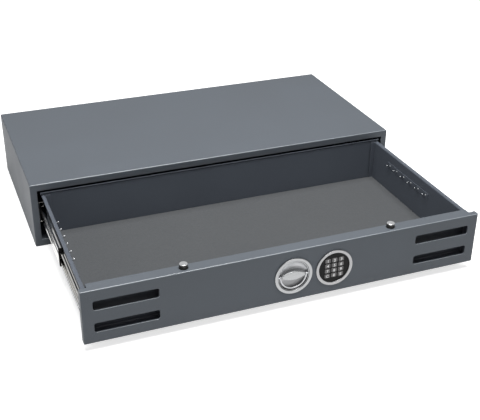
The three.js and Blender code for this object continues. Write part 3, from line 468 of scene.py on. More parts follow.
def moulded_plastic(name, shade, low=0.42, high=0.58, pebble=0.00003, gloss=0.12):
    """A plastic or rubber of one shade, paler on its edges from wear and as a painted highlight."""
    material, tree, shader, place = new_finish(name, Specular_IOR_Level=gloss)
    grain = use_group(tree, grain_group, Vector=place, Per_metre=1900.0)
    clouds = use_group(tree, clouds_group, Vector=place, Per_metre=40.0, Contrast=1.4)
    edges = use_group(tree, edges_group, Reach=0.0006, Sharpness=4.0)
    tone = mix_colour(tree, clouds, screen_colour(shade, PLASTIC_DARK), screen_colour(shade))
    plastic_worn_and_highlit = screen_colour(shade, PLASTIC_WORN_AND_HIGHLIT_FACTOR, PLASTIC_WORN_AND_HIGHLIT_LIFT)
    tone = mix_colour(tree, calculate(tree, "MULTIPLY", edges, PLASTIC_EDGE_WEAR_AND_HIGHLIGHT), tone, plastic_worn_and_highlit)
    dress(tree, shader, tone, grain, low, high, grain, pebble)
    return material


plastic = moulded_plastic("black_plastic", (20, 20, 20))
# The keys' pale edges are wear and also a painted highlight.
key_plastic = moulded_plastic("key_plastic", (98, 96, 96), 0.12, 0.22, pebble=0.00001, gloss=0.5)
rubber = moulded_plastic("buffer_rubber", (30, 30, 31), 0.75, 0.9, pebble=0.00006)

# %% Printed legend: pale ink, a little uneven where fingers rub it
ink, tree, shader, place = new_finish("legend_ink")
wear = use_group(tree, clouds_group, Vector=place, Per_metre=700.0, Contrast=2.0)
tone = mix_colour(tree, wear, screen_colour((206, 207, 208)), screen_colour((232, 233, 233)))
dress(tree, shader, tone, wear, low=0.45, high=0.6)

# %% Needle felt: short grey fibres pressed flat, in clumps of lighter and darker ones
LAY_SHARE = 0.25
CLUMP_HEIGHT = 0.6
felt, tree, shader, place = new_finish(
    "needle_felt", Sheen_Weight=0.25, Sheen_Roughness=0.6, Specular_IOR_Level=0.15)
fibre = use_group(tree, grain_group, Vector=place, Per_metre=900.0, Roundness=0.7)
clumps = use_group(tree, clouds_group, Vector=place, Per_metre=150.0, Contrast=1.6)
lay = use_group(tree, clouds_group, Vector=place, Per_metre=7.0, Contrast=1.2)
tone = mix_colour(tree, clumps, screen_colour((53, 56, 59)), screen_colour((66, 68, 70)))
pale_fibre = share_above(tree, fibre, start=0.42, gain=1.6, most=0.6)
tone = mix_colour(tree, pale_fibre, tone, screen_colour((88, 90, 92)))
lay_share = calculate(tree, "MULTIPLY", lay, LAY_SHARE)
tone = mix_colour(tree, lay_share, tone, screen_colour((50, 52, 55)))
height = calculate(tree, "MULTIPLY_ADD", clumps, CLUMP_HEIGHT, fibre)
dress(tree, shader, tone, fibre, low=0.85, high=1.0, height=height, distance=0.0004, strength=0.8)
print(len(bpy.data.materials), "materials so far")

# %% [markdown]
# ## Tools for sheet metal
# Nearly the whole safe is folded from flat sheet. Two ways of making it cover most pieces. A sheet
# that is folded along straight lines starts as a line of edges, its section, which is drawn out,
# rounded at its folds and given its thickness. A sheet with holes starts as closed outlines,
# which a fill turns into one face with holes in it, and an extrusion makes it solid.
# A modifier then breaks the raw edges, and weighted normals keep the flat faces flat.

# %% Join shapes and make a piece of them
REAL_EDGE = math.radians(32)
SHARP_EDGE = math.radians(40)
FOLD_SLOPE = 0.25


def together(*shapes):
    """Puts several closed shapes into one bmesh."""
    whole = bmesh.new()
    for shape in shapes:
        carried = bpy.data.meshes.new("carried")
        shape.to_mesh(carried)
        shape.free()
        whole.from_mesh(carried)
        bpy.data.meshes.remove(carried)
    return whole


def piece(name, shape, body, material, replaces=(), edge=0.0, steps=2, second=None):
    """Makes a finished object from a bmesh, with broken edges, that rides on a CAD body."""
    mesh = bpy.data.meshes.new(name)
    shape.to_mesh(mesh)
    shape.free()
    mesh.shade_smooth()
    for finish in (material, second):
        if finish:
            mesh.materials.append(finish)
    made = add_object(name, mesh)
    if edge:
        rounding = made.modifiers.new("broken edges", "BEVEL")
        rounding.width = edge
        rounding.segments = steps
        rounding.limit_method = "ANGLE"
        rounding.angle_limit = REAL_EDGE
    else:
        mesh.set_sharp_from_angle(angle=SHARP_EDGE)
    normals = made.modifiers.new("flat faces stay flat", "WEIGHTED_NORMAL")
    normals.keep_sharp = True
    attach(made, body)
    if replaces:
        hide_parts(*replaces)
    print(name, "on", body, "with", len(mesh.polygons), "faces")


# %% Round edges, and paint some faces with the second finish
def soften(shape, geom, width, steps, affect="EDGES"):
    """Turns edges, or the corners of a line, into rounds."""
    bmesh.ops.bevel(shape, geom=geom, offset=width, offset_type="OFFSET", segments=steps,
                    profile=0.5, affect=affect, material=-1)


def round_edges(shape, chosen, radius, steps=3):
    """Rounds the real edges, those between faces at an angle, whose middle is chosen."""
    soften(shape, [
        edge for edge in shape.edges
        if len(edge.link_faces) == 2 and edge.calc_face_angle(0) > REAL_EDGE
        and chosen((edge.verts[0].co + edge.verts[1].co) / 2)
    ], radius, steps)


def second_finish(shape, chosen=lambda face: True):
    """Gives the chosen faces the piece's second finish."""
    shape.normal_update()
    for face in shape.faces:
        face.material_index = int(chosen(face))
    return shape


def front_fold(face):
    """A face of the round between front and top, which catches the light and gets a painted
    highlight.
    """
    return face.normal.y < -FOLD_SLOPE and face.normal.z > FOLD_SLOPE


# %% Fold a sheet along straight lines
def new_points(made):
    return [item for item in made["geom"] if isinstance(item, bmesh.types.BMVert)]


def thicken(shape, sheet, fold, towards, steps=4):
    """Rounds a skin's folds and gives it a thickness, which grows in the direction of towards."""
    soften(shape, [edge for edge in shape.edges if len(edge.link_faces) == 2], fold, steps)
    bmesh.ops.recalc_face_normals(shape, faces=shape.faces)
    widest = max(shape.faces, key=lambda face: face.calc_area())
    if widest.normal.dot(Vector(towards)) > 0:
        bmesh.ops.reverse_faces(shape, faces=shape.faces)
    bmesh.ops.solidify(shape, geom=shape.faces[:], thickness=sheet)
    bmesh.ops.recalc_face_normals(shape, faces=shape.faces)
    return shape


def folded_sheet(section, run, sheet, fold, towards, steps=4):
    """A sheet whose skin follows the section's points and runs on by a vector."""
    shape = bmesh.new()
    corners = [shape.verts.new(point) for point in section]
    edges = [shape.edges.new(pair) for pair in zip(corners, corners[1:])]
    drawn = bmesh.ops.extrude_edge_only(shape, edges=edges)
    bmesh.ops.translate(shape, verts=new_points(drawn), vec=run)
    return thicken(shape, sheet, fold, towards, steps)


# %% Cut a plate with holes
def closed_line(shape, corners, rounding=0.0, steps=5):
    """A closed line of edges through corner points, with rounded corners."""
    points = [shape.verts.new((x, y, 0)) for x, y in corners]
    for pair in zip(points, points[1:] + points[:1]):
        shape.edges.new(pair)
    if rounding:
        soften(shape, points, rounding, steps, "VERTICES")


def rectangle(x0, x1, y0, y1):
    return [(x0, y0), (x1, y0), (x1, y1), (x0, y1)]


def cut_plate(outline, sheet, round_holes=(), slots=(), corner=0.0, facets=64):
    """A flat plate in X and Y, with its thickness along Z. A round hole is x, y and a radius, and a
    slot is x0, x1, y0, y1 and the radius of its corners. The outermost line is the plate's rim."""
    shape = bmesh.new()
    if outline:
        closed_line(shape, outline, corner)
    for *sides, radius in slots:
        closed_line(shape, rectangle(*sides), radius)
    for x, y, radius in round_holes:
        bmesh.ops.create_circle(shape, cap_ends=False, segments=facets, radius=radius,
                                matrix=Matrix.Translation((x, y, 0)))
    bmesh.ops.triangle_fill(shape, use_beauty=True, use_dissolve=False, edges=shape.edges[:],
                            normal=(0, 0, 1))
    raised = bmesh.ops.extrude_face_region(shape, geom=shape.faces[:])
    bmesh.ops.translate(shape, verts=new_points(raised), vec=(0, 0, sheet))
    bmesh.ops.recalc_face_normals(shape, faces=shape.faces)
    return shape


# %% Put a shape in its place
# A plate that is drawn in X and Y stands up in X and Z, and its thickness runs along +Y
STANDING = Matrix(((1, 0, 0, 0), (0, 0, 1, 0), (0, 1, 0, 0), (0, 0, 0, 1)))


def moved(shape, matrix):
    bmesh.ops.transform(shape, matrix=matrix, verts=shape.verts)
    if matrix.determinant() < 0:
        bmesh.ops.reverse_faces(shape, faces=shape.faces)
    return shape


def standing(shape, depth):
    return moved(shape, Matrix.Translation((0, depth, 0)) @ STANDING)


def lying(shape, height):
    return moved(shape, Matrix.Translation((0, 0, height)))


# %% Plain blocks, and sheets as large as their solids
def block(corner, opposite):
    """A plain block between two opposite corners, for shapes whose edges are then rounded."""
    low, high = Vector(map(min, corner, opposite)), Vector(map(max, corner, opposite))
    shape = bmesh.new()
    place = Matrix.Translation((low + high) / 2) @ Matrix.Diagonal((*(high - low), 1))
    bmesh.ops.create_cube(shape, size=1.0, matrix=place)
    return shape


def plain_sheet(name, node, body, material, edge):
    """A flat sheet with its raw edges broken, as large as its solid."""
    piece(name, block(*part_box(node)), body, material, [node], edge=edge)


# %% Turn a section round an axis
SAME_POINT = 1e-7


def turned(section, centre, axis=ALONG_Y, rounding=0.0, chosen=(), facets=96, steps=4):
    """A solid of revolution. The section is a line of radius and place along the axis, closed
    unless both its ends are on the axis. The corners whose numbers are chosen are rounded."""
    shape = bmesh.new()
    outwards = ALONG_Z if axis == ALONG_X else ALONG_X
    corners = [shape.verts.new(outwards * radius + axis * along) for radius, along in section]
    on_axis = section[0][0] == 0 and section[-1][0] == 0
    for pair in zip(corners, corners[1:] if on_axis else corners[1:] + corners[:1]):
        shape.edges.new(pair)
    if rounding:
        soften(shape, [corners[number] for number in chosen], rounding, steps, "VERTICES")
    bmesh.ops.spin(shape, geom=shape.verts[:] + shape.edges[:], cent=(0, 0, 0), axis=axis,
                   dvec=(0, 0, 0), angle=2 * math.pi, steps=facets, use_merge=True,
                   use_normal_flip=False, use_duplicate=False)
    bmesh.ops.remove_doubles(shape, verts=shape.verts, dist=SAME_POINT)
    bmesh.ops.recalc_face_normals(shape, faces=shape.faces)
    bmesh.ops.translate(shape, verts=shape.verts, vec=centre)
    return shape


def rod(radius, start, end, centre, **options):
    """A plain round bar between two places along its axis."""
    return turned([(0, start), (radius, start), (radius, end), (0, end)], centre, **options)


# %% [markdown]
# ## The casing
# The casing is a wide box that hangs under the desk. Its top and sides are one sheet with two long
# folds, the underside and the back are let in between them, and the front edge turns in round the
# opening and then runs back as a lip, above and below. The front frame is cut as a plate with a
# window, whose outer edges are rounded like the folds, so that frame and skin read as one sheet.
# A fold stretches the powder smooth, so the round between front and top has a glossier finish.
# Its coat is also lighter there, a painted highlight along the fold.

# %% Casing sizes
CASING_SHEET = 3 * MM
CASING_FOLD = 3.6 * MM
RIM_SHEET = 2.5 * MM
RIM_FOLD = 1.9 * MM
OPENING_FOLD = 1.2 * MM
OPENING_CORNER = 0.6 * MM
OPENING_BOTTOM = 18.4 * MM
BOTTOM_LIP_DEPTH = 20 * MM
STRIKE_HOLE_RADIUS = 10 * MM
RAW_EDGE = 0.5 * MM
AT_FACE = MM / 10

strike_low, strike_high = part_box("strike_rail")
bolt_low, bolt_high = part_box("locking_bolt_right")
opening_half = strike_high.x
opening_top = strike_low.z - RIM_SHEET
bolt_x = (bolt_low.x + bolt_high.x) / 2
bolt_radius = (bolt_high.x - bolt_low.x) / 2
bolt_depth = bolt_low.y + bolt_radius
strike_y = bolt_depth - drawer_front + frame_low.y
print("opening", round(opening_half * 2, 4), "wide, bolts", round(bolt_x * 2, 4), "apart")

# %% Casing skin: top and both sides
skin = folded_sheet(
    [(casing_low.x, casing_low.y, casing_low.z), (casing_low.x, casing_low.y, casing_high.z),
     (casing_high.x, casing_low.y, casing_high.z), (casing_high.x, casing_low.y, casing_low.z)],
    (0, casing_high.y - casing_low.y, 0), CASING_SHEET, CASING_FOLD, -ALONG_Z, steps=5)
round_edges(skin, lambda at: at.y > casing_high.y - MM or at.z < MM / 2, RAW_EDGE, 2)
piece("casing_skin", skin, "casing", coat, ["casing_shell"])


# %% Front frame, with its two lips
def in_window(at):
    return abs(at.x) < opening_half + MM and OPENING_BOTTOM - MM < at.z < opening_top + MM


window = (-opening_half, opening_half, OPENING_BOTTOM, opening_top, OPENING_CORNER)
frame_plate = standing(cut_plate(
    rectangle(frame_low.x, frame_high.x, frame_low.z, frame_high.z), RIM_SHEET,
    corner=CASING_FOLD, slots=[window]), frame_low.y)
for inside, fold, steps in ((False, RIM_FOLD, 4), (True, OPENING_FOLD, 3)):
    round_edges(frame_plate, lambda at: at.y < frame_low.y + AT_FACE and in_window(at) == inside,
                fold, steps)
lip_front = frame_low.y + RIM_SHEET
top_lip = lying(cut_plate(
    rectangle(-opening_half, opening_half, lip_front, frame_high.y), RIM_SHEET,
    round_holes=[(side * bolt_x, strike_y, STRIKE_HOLE_RADIUS) for _, side in HANDS]), opening_top)
bottom_lip = block((-opening_half, lip_front, OPENING_BOTTOM - RIM_SHEET),
                   (opening_half, frame_low.y + BOTTOM_LIP_DEPTH, OPENING_BOTTOM))
for lip in (top_lip, bottom_lip):
    round_edges(lip, lambda at: at.y > lip_front + MM, RAW_EDGE, 2)
# The round of the front fold gets the lighter coat, a painted highlight.
second_finish(frame_plate, front_fold)
piece("casing_front_rim", together(frame_plate, top_lip, bottom_lip), "casing", coat,
      ["front_frame"], second=fold_highlight_coat)

# %% Underside and back, let in between the sides
plain_sheet("casing_underside", "casing_base", "casing", coat, RAW_EDGE)
plain_sheet("casing_rear_panel", "casing_back", "casing", coat, RAW_EDGE)

# %% [markdown]
# ## The drawer's box
# The drawer is a tray of thin sheet. Each side wall has a foot that turns in under the floor and a
# flange along its top that turns out over the slide, and the back wall has a flange that turns
# forward. Seen from above, these flanges are the pale lines that draw the drawer's outline.
# A narrow return at the back end of each side wall stands a little in front of the back wall,
# and the gap between them shows as a thin dark line in the corner.

# %% Drawer sizes
DRAWER_SHEET = 1.5 * MM
DRAWER_FOLD = 2.1 * MM
WALL_FOOT = 13.5 * MM
FLANGE_START = 14.3 * MM
FLANGE_SHORT = 2 * MM
RETURN_WIDTH = 12 * MM
RETURN_GAP = 3 * MM
REAR_STEP = 0.3 * MM
THIN_EDGE = 0.35 * MM
MAT_CORNER = 3 * MM
MAT_EDGE = 1.1 * MM
PANEL_SHEET = 2.5 * MM

wall_low, wall_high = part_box("drawer_wall_right")
floor_low, floor_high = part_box("drawer_floor")
rear_low, rear_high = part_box("drawer_back")
inner_half = floor_high.x
web_half = inner_half + DRAWER_SHEET
band_from = drawer_front + PANEL_SHEET
flange_from = drawer_front + FLANGE_START
flange_under = wall_high.z - DRAWER_SHEET
return_back = rear_high.y - DRAWER_SHEET - RETURN_GAP
print("the drawer is", round(inner_half * 2, 4), "wide inside")

# %% Side walls
# The drawer's sheet takes the darker inner coat, a painted shade.
for hand, side in HANDS:
    inner, web = side * inner_half, side * web_half
    foot_end, flange_end = side * (web_half - WALL_FOOT), side * (wall_high.x - FLANGE_SHORT)
    main = folded_sheet(
        [(foot_end, flange_from, wall_low.z), (web, flange_from, wall_low.z),
         (web, flange_from, flange_under), (flange_end, flange_from, flange_under)],
        (0, rear_low.y - flange_from, 0), DRAWER_SHEET, DRAWER_FOLD, (-side, 0, 0))
    front_part = block((inner, band_from, wall_low.z), (web, flange_from, wall_high.z))
    rear_return = block((inner, return_back - DRAWER_SHEET, floor_high.z),
                        (side * (inner_half - RETURN_WIDTH), return_back, wall_high.z))
    piece(f"drawer_side_{hand}", together(main, front_part, rear_return), "drawer", shaded_inner_coat,
          [f"drawer_wall_{hand}"], edge=THIN_EDGE)

# %% Back wall: it stands higher than the sides, and its top folds forward
rear_reach, web_top = rear_high.x, wall_high.z + REAR_STEP
rear_top = folded_sheet(
    [(-rear_reach, rear_low.y, rear_high.z), (-rear_reach, rear_high.y, rear_high.z),
     (-rear_reach, rear_high.y, web_top)],
    (2 * rear_reach, 0, 0), DRAWER_SHEET, DRAWER_FOLD, -ALONG_Y)
rear_web = block((-inner_half, rear_high.y - DRAWER_SHEET, rear_low.z),
                 (inner_half, rear_high.y, web_top))
piece("drawer_rear_wall", together(rear_web, rear_top), "drawer", shaded_inner_coat,
      ["drawer_back"], edge=THIN_EDGE)

# %% Floor and felt mat
plain_sheet("drawer_bottom", "drawer_floor", "drawer", shaded_inner_coat, THIN_EDGE)
mat_low, mat_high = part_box("floor_mat")
mat = lying(cut_plate(rectangle(mat_low.x, mat_high.x, mat_low.y, mat_high.y),
                      mat_high.z - mat_low.z, corner=MAT_CORNER), mat_low.z)
piece("felt_mat", mat, "drawer", felt, ["floor_mat"], edge=MAT_EDGE, steps=3)

# %% [markdown]
# ## The front panel
# The panel is the part that people look at: a plate with four finger slots and two round windows,
# folded back all round. Along its top it folds into a broad band with a hole for each bolt, and
# at its ends the band is shorter, to let the side walls' flanges run up to it.

# %% Front panel sizes
PANEL_FOLD = 2.0 * MM
PANEL_CORNER = 1.5 * MM
HOLE_EDGE = 0.6 * MM
BAND_DEPTH = 29 * MM
BAND_END_DEPTH = 14 * MM
BAND_HALF = inner_half - 0.3 * MM
RETURN_DEPTH = 19 * MM
SLOT_INNER, SLOT_OUTER = 300 * MM, 438 * MM
SLOT_HEIGHT = 22 * MM
SLOT_RISE = 26.4 * MM
SLOT_CORNER = 5 * MM
WINDOW_RADIUS = 39.2 * MM
BOLT_HOLE_RADIUS = bolt_radius + 0.9 * MM

slots = []
for _, side in HANDS:
    for middle in (lock_height - SLOT_RISE, lock_height + SLOT_RISE):
        slots.append((*sorted((side * SLOT_INNER, side * SLOT_OUTER)),
                      middle - SLOT_HEIGHT / 2, middle + SLOT_HEIGHT / 2, SLOT_CORNER))
print(len(slots), "finger slots")


# %% Panel plate, band and returns
def on_outline(at):
    return abs(at.x) > panel_high.x - MM or at.z > panel_high.z - MM or at.z < panel_low.z + MM


plate = standing(cut_plate(
    rectangle(panel_low.x, panel_high.x, panel_low.z, panel_high.z), PANEL_SHEET,
    round_holes=[(x, lock_height, WINDOW_RADIUS) for x in (0, keypad_x)],
    slots=slots, corner=PANEL_CORNER), drawer_front)
for outer, fold, steps in ((True, PANEL_FOLD, 4), (False, HOLE_EDGE, 3)):
    round_edges(plate, lambda at: at.y < drawer_front + AT_FACE and on_outline(at) == outer,
                fold, steps)

end_back, band_back = drawer_front + BAND_END_DEPTH, drawer_front + BAND_DEPTH
band_half = [(panel_high.x, band_from), (panel_high.x, end_back), (BAND_HALF, end_back),
             (BAND_HALF, band_back)]
band = lying(cut_plate(
    band_half + [(-x, y) for x, y in reversed(band_half)], PANEL_SHEET,
    round_holes=[(side * bolt_x, bolt_depth, BOLT_HOLE_RADIUS) for _, side in HANDS]),
    panel_high.z - PANEL_SHEET)
round_edges(band, lambda at: at.y > band_from + AT_FACE and at.z > panel_high.z - AT_FACE,
            HOLE_EDGE, 3)

return_low, return_end = panel_low.z + PANEL_SHEET, drawer_front + RETURN_DEPTH
returns = [block((-panel_high.x, band_from, panel_low.z), (panel_high.x, return_end, return_low))]
for _, side in HANDS:
    returns.append(block(
        (side * panel_high.x, band_from, return_low),
        (side * (panel_high.x - PANEL_SHEET), return_end, panel_high.z - PANEL_SHEET)))
for part in returns:
    round_edges(part, lambda at: at.y > band_from + MM, RAW_EDGE, 2)
# The panel's front fold gets the lighter coat too, a painted highlight.
second_finish(plate, front_fold)
piece("drawer_front_panel", together(plate, band, *returns), "drawer", coat,
      ["front_panel"], second=fold_highlight_coat)

# %% Slot pans: a deep drawn tray behind each pair of slots
PAN_SHEET = 1.2 * MM
PAN_FOLD = 3.5 * MM
# The trays take the dark coat, a painted shade inside the slots.
for hand, side in HANDS:
    low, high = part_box(f"slot_pan_{hand}")
    tray = bmesh.new()
    bottom = rectangle(low.x, high.x, low.z, high.z)
    tray.faces.new([tray.verts.new((x, high.y, z)) for x, z in bottom])
    walls = bmesh.ops.extrude_edge_only(tray, edges=tray.edges[:])
    bmesh.ops.translate(tray, verts=new_points(walls), vec=(0, low.y - high.y, 0))
    thicken(tray, PAN_SHEET, PAN_FOLD, -ALONG_Y)
    piece(f"slot_tray_{hand}", tray, "drawer", shaded_tray_coat, [f"slot_pan_{hand}"])

# %% Lock cover: the wall that closes the lock's space from inside the drawer
plain_sheet("lock_cover_plate", "lock_cover", "drawer", shaded_inner_coat, THIN_EDGE)

# %% [markdown]
# ## The drawer slides
# Each slide is three rolled channels that nest: the outer one is screwed to the casing, the inner
# one to the drawer, and the middle one runs between them, so that the drawer comes out by nearly
# its whole depth. The lips of the middle and the inner one have a shallow groove, the race in which
# the balls roll. A channel is one line of points, drawn out and folded, so the same tool makes all
# three. The bead of the middle one's web is painted dark, a painted shade, and the inner one's
# groove is dark with race grease and painted shade. The outer one is a darker zinc, a painted
# shade, and its cut lip ends are painted bright, a painted highlight.

# %% Slide sizes
SLIDE_SHEET = 1.4 * MM
SLIDE_FOLD = 0.42 * MM
SLIDE_EDGE = 0.25 * MM
MIDDLE_SHEET = 1.0 * MM
RACE_DEPTH = 0.9 * MM
LIP_DROP = 1.1 * MM
OUTER_HOOK_DEPTH = SLIDE_SHEET + 2.2 * MM
WEB_BEAD_LOW, WEB_BEAD_HIGH = 5.5 * MM, 15.2 * MM
WEB_BEAD_DEPTH, BEAD_SLOPE = 0.85 * MM, 1.2 * MM
MIDDLE_RACE = (2.1 * MM, 4.6 * MM, 7.0 * MM)
INNER_RACE = (2.4 * MM, 3.4 * MM, 5.2 * MM)
BEAD_PAINTED_SHADE = (-MM, 3 * MM)
GROOVE_GREASE_AND_SHADE = (-3.8 * MM, -2.2 * MM)
GROOVE_GREASE_AND_SHADE_REACH = 3 * MM
SAWN_FACING = 0.9

outer_low, outer_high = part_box("slide_outer_right")
middle_low, middle_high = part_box("slide_middle_right")
inner_low, inner_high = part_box("slide_inner_right")
slide_plane = outer_high.x
outer_half = (outer_high.z - outer_low.z) / 2
middle_half = (middle_high.z - middle_low.z) / 2
member_half = (inner_high.z - inner_low.z) / 2
outer_lip = slide_plane - outer_low.x
middle_web, middle_lip = slide_plane - middle_high.x, slide_plane - middle_low.x
inner_lip, inner_web = slide_plane - inner_high.x, slide_plane - inner_low.x
print("slides", round(outer_half * 2, 4), "high and", round(inner_web, 4), "thick")


# %% A channel from its lip's points
def rolled_channel(side, start, end, lip, sheet, fold, inwards=True):
    """Each lip point is a distance in from the casing side and one up from the middle line.

    The lip is mirrored to make the lower one. Inwards tells which side of the web it opens to."""
    whole = [(inward, -up) for inward, up in reversed(lip)] + list(lip)
    section = [(side * (slide_plane - inward), start, lock_height + up) for inward, up in whole]
    grow = -side if inwards else side
    return folded_sheet(section, (0, end - start, 0), sheet, fold, (grow, 0, 0))


def in_section(side, inwards, ups):
    """A test for faces whose middle lies between two distances in and two up."""
    def test(face):
        middle = face.calc_center_median()
        inward, up = slide_plane - side * middle.x, middle.z - lock_height
        return inwards[0] < inward < inwards[1] and ups[0] < up < ups[1]
    return test


def sawn_lip(face):
    """A face at the front end of a lip, which gets a painted highlight."""
    up = abs(face.calc_center_median().z - lock_height)
    return face.normal.y < -SAWN_FACING and up > outer_half - 2 * SLIDE_SHEET


# %% Outer, middle and inner members
outer_section = [
    (0, outer_half), (outer_lip, outer_half), (outer_lip, outer_half - OUTER_HOOK_DEPTH),
]
middle_section = [
    (middle_web, WEB_BEAD_LOW), (middle_web + WEB_BEAD_DEPTH, WEB_BEAD_LOW + BEAD_SLOPE),
    (middle_web + WEB_BEAD_DEPTH, WEB_BEAD_HIGH - BEAD_SLOPE), (middle_web, WEB_BEAD_HIGH),
    (middle_web, middle_half), (middle_web + MIDDLE_RACE[0], middle_half - RACE_DEPTH),
    (middle_web + MIDDLE_RACE[1], middle_half - RACE_DEPTH),
    (middle_web + MIDDLE_RACE[2], middle_half), (middle_lip, middle_half),
]
inner_section = [
    (inner_web, member_half), (inner_web - INNER_RACE[0], member_half - RACE_DEPTH),
    (inner_web - INNER_RACE[1], member_half - RACE_DEPTH), (inner_web - INNER_RACE[2], member_half),
    (inner_lip, member_half - LIP_DROP),
]
for hand, side in HANDS:
    # The bead's dark faces are painted shade; the groove's are race grease and painted shade.
    in_bead = in_section(side, [middle_web + reach for reach in BEAD_PAINTED_SHADE],
                         (WEB_BEAD_LOW, WEB_BEAD_HIGH))
    in_groove = in_section(side, [inner_web + reach for reach in GROOVE_GREASE_AND_SHADE],
                           (member_half - GROOVE_GREASE_AND_SHADE_REACH, member_half))
    for member, lip, body, inwards, sheet, finish, second, chosen in (
            ("outer", outer_section, "casing", True, SLIDE_SHEET, shaded_zinc, sawn_end_highlight, sawn_lip),
            ("middle", middle_section, f"middle_{hand}", True, MIDDLE_SHEET, zinc, grease_and_shade,
             in_bead),
            ("inner", inner_section, "drawer", False, SLIDE_SHEET, zinc, grease_and_shade, in_groove)):
        low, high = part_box(f"slide_{member}_{hand}")
        channel = rolled_channel(side, low.y, high.y, lip, sheet, SLIDE_FOLD, inwards)
        piece(f"slide_{member}_member_{hand}", second_finish(channel, chosen), body, finish,
              [f"slide_{member}_{hand}"], edge=SLIDE_EDGE, steps=1, second=second)

# %% End pieces: a black plastic shoe on the middle member, two horns that a thin web joins
SHOE_HORN = 7 * MM
SHOE_WEB = 2 * MM
SHOE_EDGE = 0.6 * MM
for hand, side in HANDS:
    low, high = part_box(f"slide_end_{hand}")
    half = (high.z - low.z) / 2
    near, far, web_side = (side * (slide_plane - inward)
                           for inward in (middle_web, middle_lip, middle_web + SHOE_WEB))
    horns = [block((near, low.y, lock_height + up * (half - SHOE_HORN)),
                   (far, high.y, lock_height + up * half)) for up in (1, -1)]
    web = block((near, high.y - SHOE_WEB, lock_height - half),
                (web_side, high.y, lock_height + half))
    piece(f"slide_shoe_{hand}", together(*horns, web), f"middle_{hand}", plastic,
          [f"slide_end_{hand}"], edge=SHOE_EDGE, steps=3)

# %% Ball cages: a thin strip that keeps the balls of each row apart
BALL_RADIUS = 1.75 * MM
BALL_PITCH = 27 * MM
BALLS_IN_ROW = 6
CAGE_SHEET = 0.8 * MM
CAGE_FOLD = 0.8 * MM


def ball_cage(side, low, high):
    """A folded strip with a row of balls along each of its lips."""
    web, tip = sorted(abs(slide_plane - abs(x)) for x in (low.x, high.x))
    ball_height = (high.z - low.z) / 2 - BALL_RADIUS
    half = ball_height + CAGE_SHEET / 2
    strip = rolled_channel(side, low.y, high.y, [(web, half), (tip, half)], CAGE_SHEET, CAGE_FOLD)
    balls = bmesh.new()
    middle = (low.y + high.y) / 2
    across = side * (slide_plane - (web + tip + CAGE_SHEET) / 2)
    for up in (-1, 1):
        for count in range(BALLS_IN_ROW):
            along = middle + (count - (BALLS_IN_ROW - 1) / 2) * BALL_PITCH
            place = Matrix.Translation((across, along, lock_height + up * ball_height))
            bmesh.ops.create_uvsphere(balls, u_segments=20, v_segments=12, radius=BALL_RADIUS,
                                      matrix=place)
    return together(strip, second_finish(balls))


for hand, side in HANDS:
    for stage in ("outer", "inner"):
        cage = ball_cage(side, *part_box(f"ball_cage_{stage}_{hand}"))
        piece(f"ball_retainer_{stage}_{hand}", cage, f"{stage}_cage_{hand}", zinc_across,
              [f"ball_cage_{stage}_{hand}"], second=chrome)

# %% Brackets: a hat-shaped rail that fills the space between slide and casing
BRACKET_SHEET = 2 * MM
BRACKET_FOLD = 1.8 * MM
BRACKET_EDGE = 0.3 * MM
# The brackets take the dark zinc, a painted shade.
for hand, side in HANDS:
    low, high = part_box(f"slide_bracket_{hand}")
    wall_in = max(abs(low.x), abs(high.x)) - BRACKET_SHEET
    foot = (high.z - low.z) / 2
    hat = [(0, outer_half), (slide_plane - wall_in, outer_half), (slide_plane - wall_in, foot)]
    bracket = rolled_channel(side, low.y, high.y, hat, BRACKET_SHEET, BRACKET_FOLD, inwards=False)
    piece(f"slide_rail_bracket_{hand}", bracket, "casing", shaded_zinc, [f"slide_bracket_{hand}"],
          edge=BRACKET_EDGE)

# %% [markdown]
# ## Screws
# A pan head screw is a low dome with a cross cut in it. The head is a round plate with a
# cross-shaped hole, its outer rim is rounded to a dome, and a thin plate closes the cross at its
# bottom. One function makes every screw, since all of them are alike.

# %% A cross recessed pan head
HEAD_RADIUS = 3.6 * MM
HEAD_HEIGHT = 1.9 * MM
HEAD_ROUND = 0.55 * HEAD_HEIGHT
CROSS_REACH = 1.9 * MM
CROSS_ARM = 0.45 * MM
CROSS_FLOOR = 0.4 * HEAD_HEIGHT
CROSS_FIT = 1.02


def cross_outline(reach, arm):
    quarter = [(reach, -arm), (reach, arm), (arm, arm)]
    turns = [Matrix.Rotation(math.pi / 2 * i, 2) for i in range(4)]
    return [tuple(turn @ Vector(point)) for turn in turns for point in quarter]


def pan_head(place, direction):
    """A head that stands on place and points along direction."""
    cross = cross_outline(CROSS_REACH, CROSS_ARM)
    crown = cut_plate(cross, HEAD_HEIGHT, round_holes=[(0, 0, HEAD_RADIUS)], facets=32)
    rim = CROSS_REACH + AT_FACE
    round_edges(crown, lambda at: at.z > HEAD_HEIGHT - AT_FACE and at.xy.length > rim, HEAD_ROUND, 4)
    sunk = cut_plate([(x * CROSS_FIT, y * CROSS_FIT) for x, y in cross], CROSS_FLOOR)
    turn = ALONG_Z.rotation_difference(Vector(direction)).to_matrix().to_4x4()
    return moved(together(crown, sunk), Matrix.Translation(place) @ turn)


# %% Screws of the slides and of the lock cover
SLIDE_SCREW_DEPTHS = (58 * MM, 232 * MM, 406 * MM)
SLIDE_SCREW_SINK = 0.1 * MM
COVER_SCREW_X = (60 * MM, 205 * MM, 330 * MM, 425 * MM)
COVER_SCREW_SINK = 0.05 * MM
COVER_SCREW_ABOVE, COVER_SCREW_BELOW = 9 * MM, 12 * MM

cover_low, cover_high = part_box("lock_cover")
cover_rows = (cover_low.z + COVER_SCREW_ABOVE, cover_high.z - COVER_SCREW_BELOW)

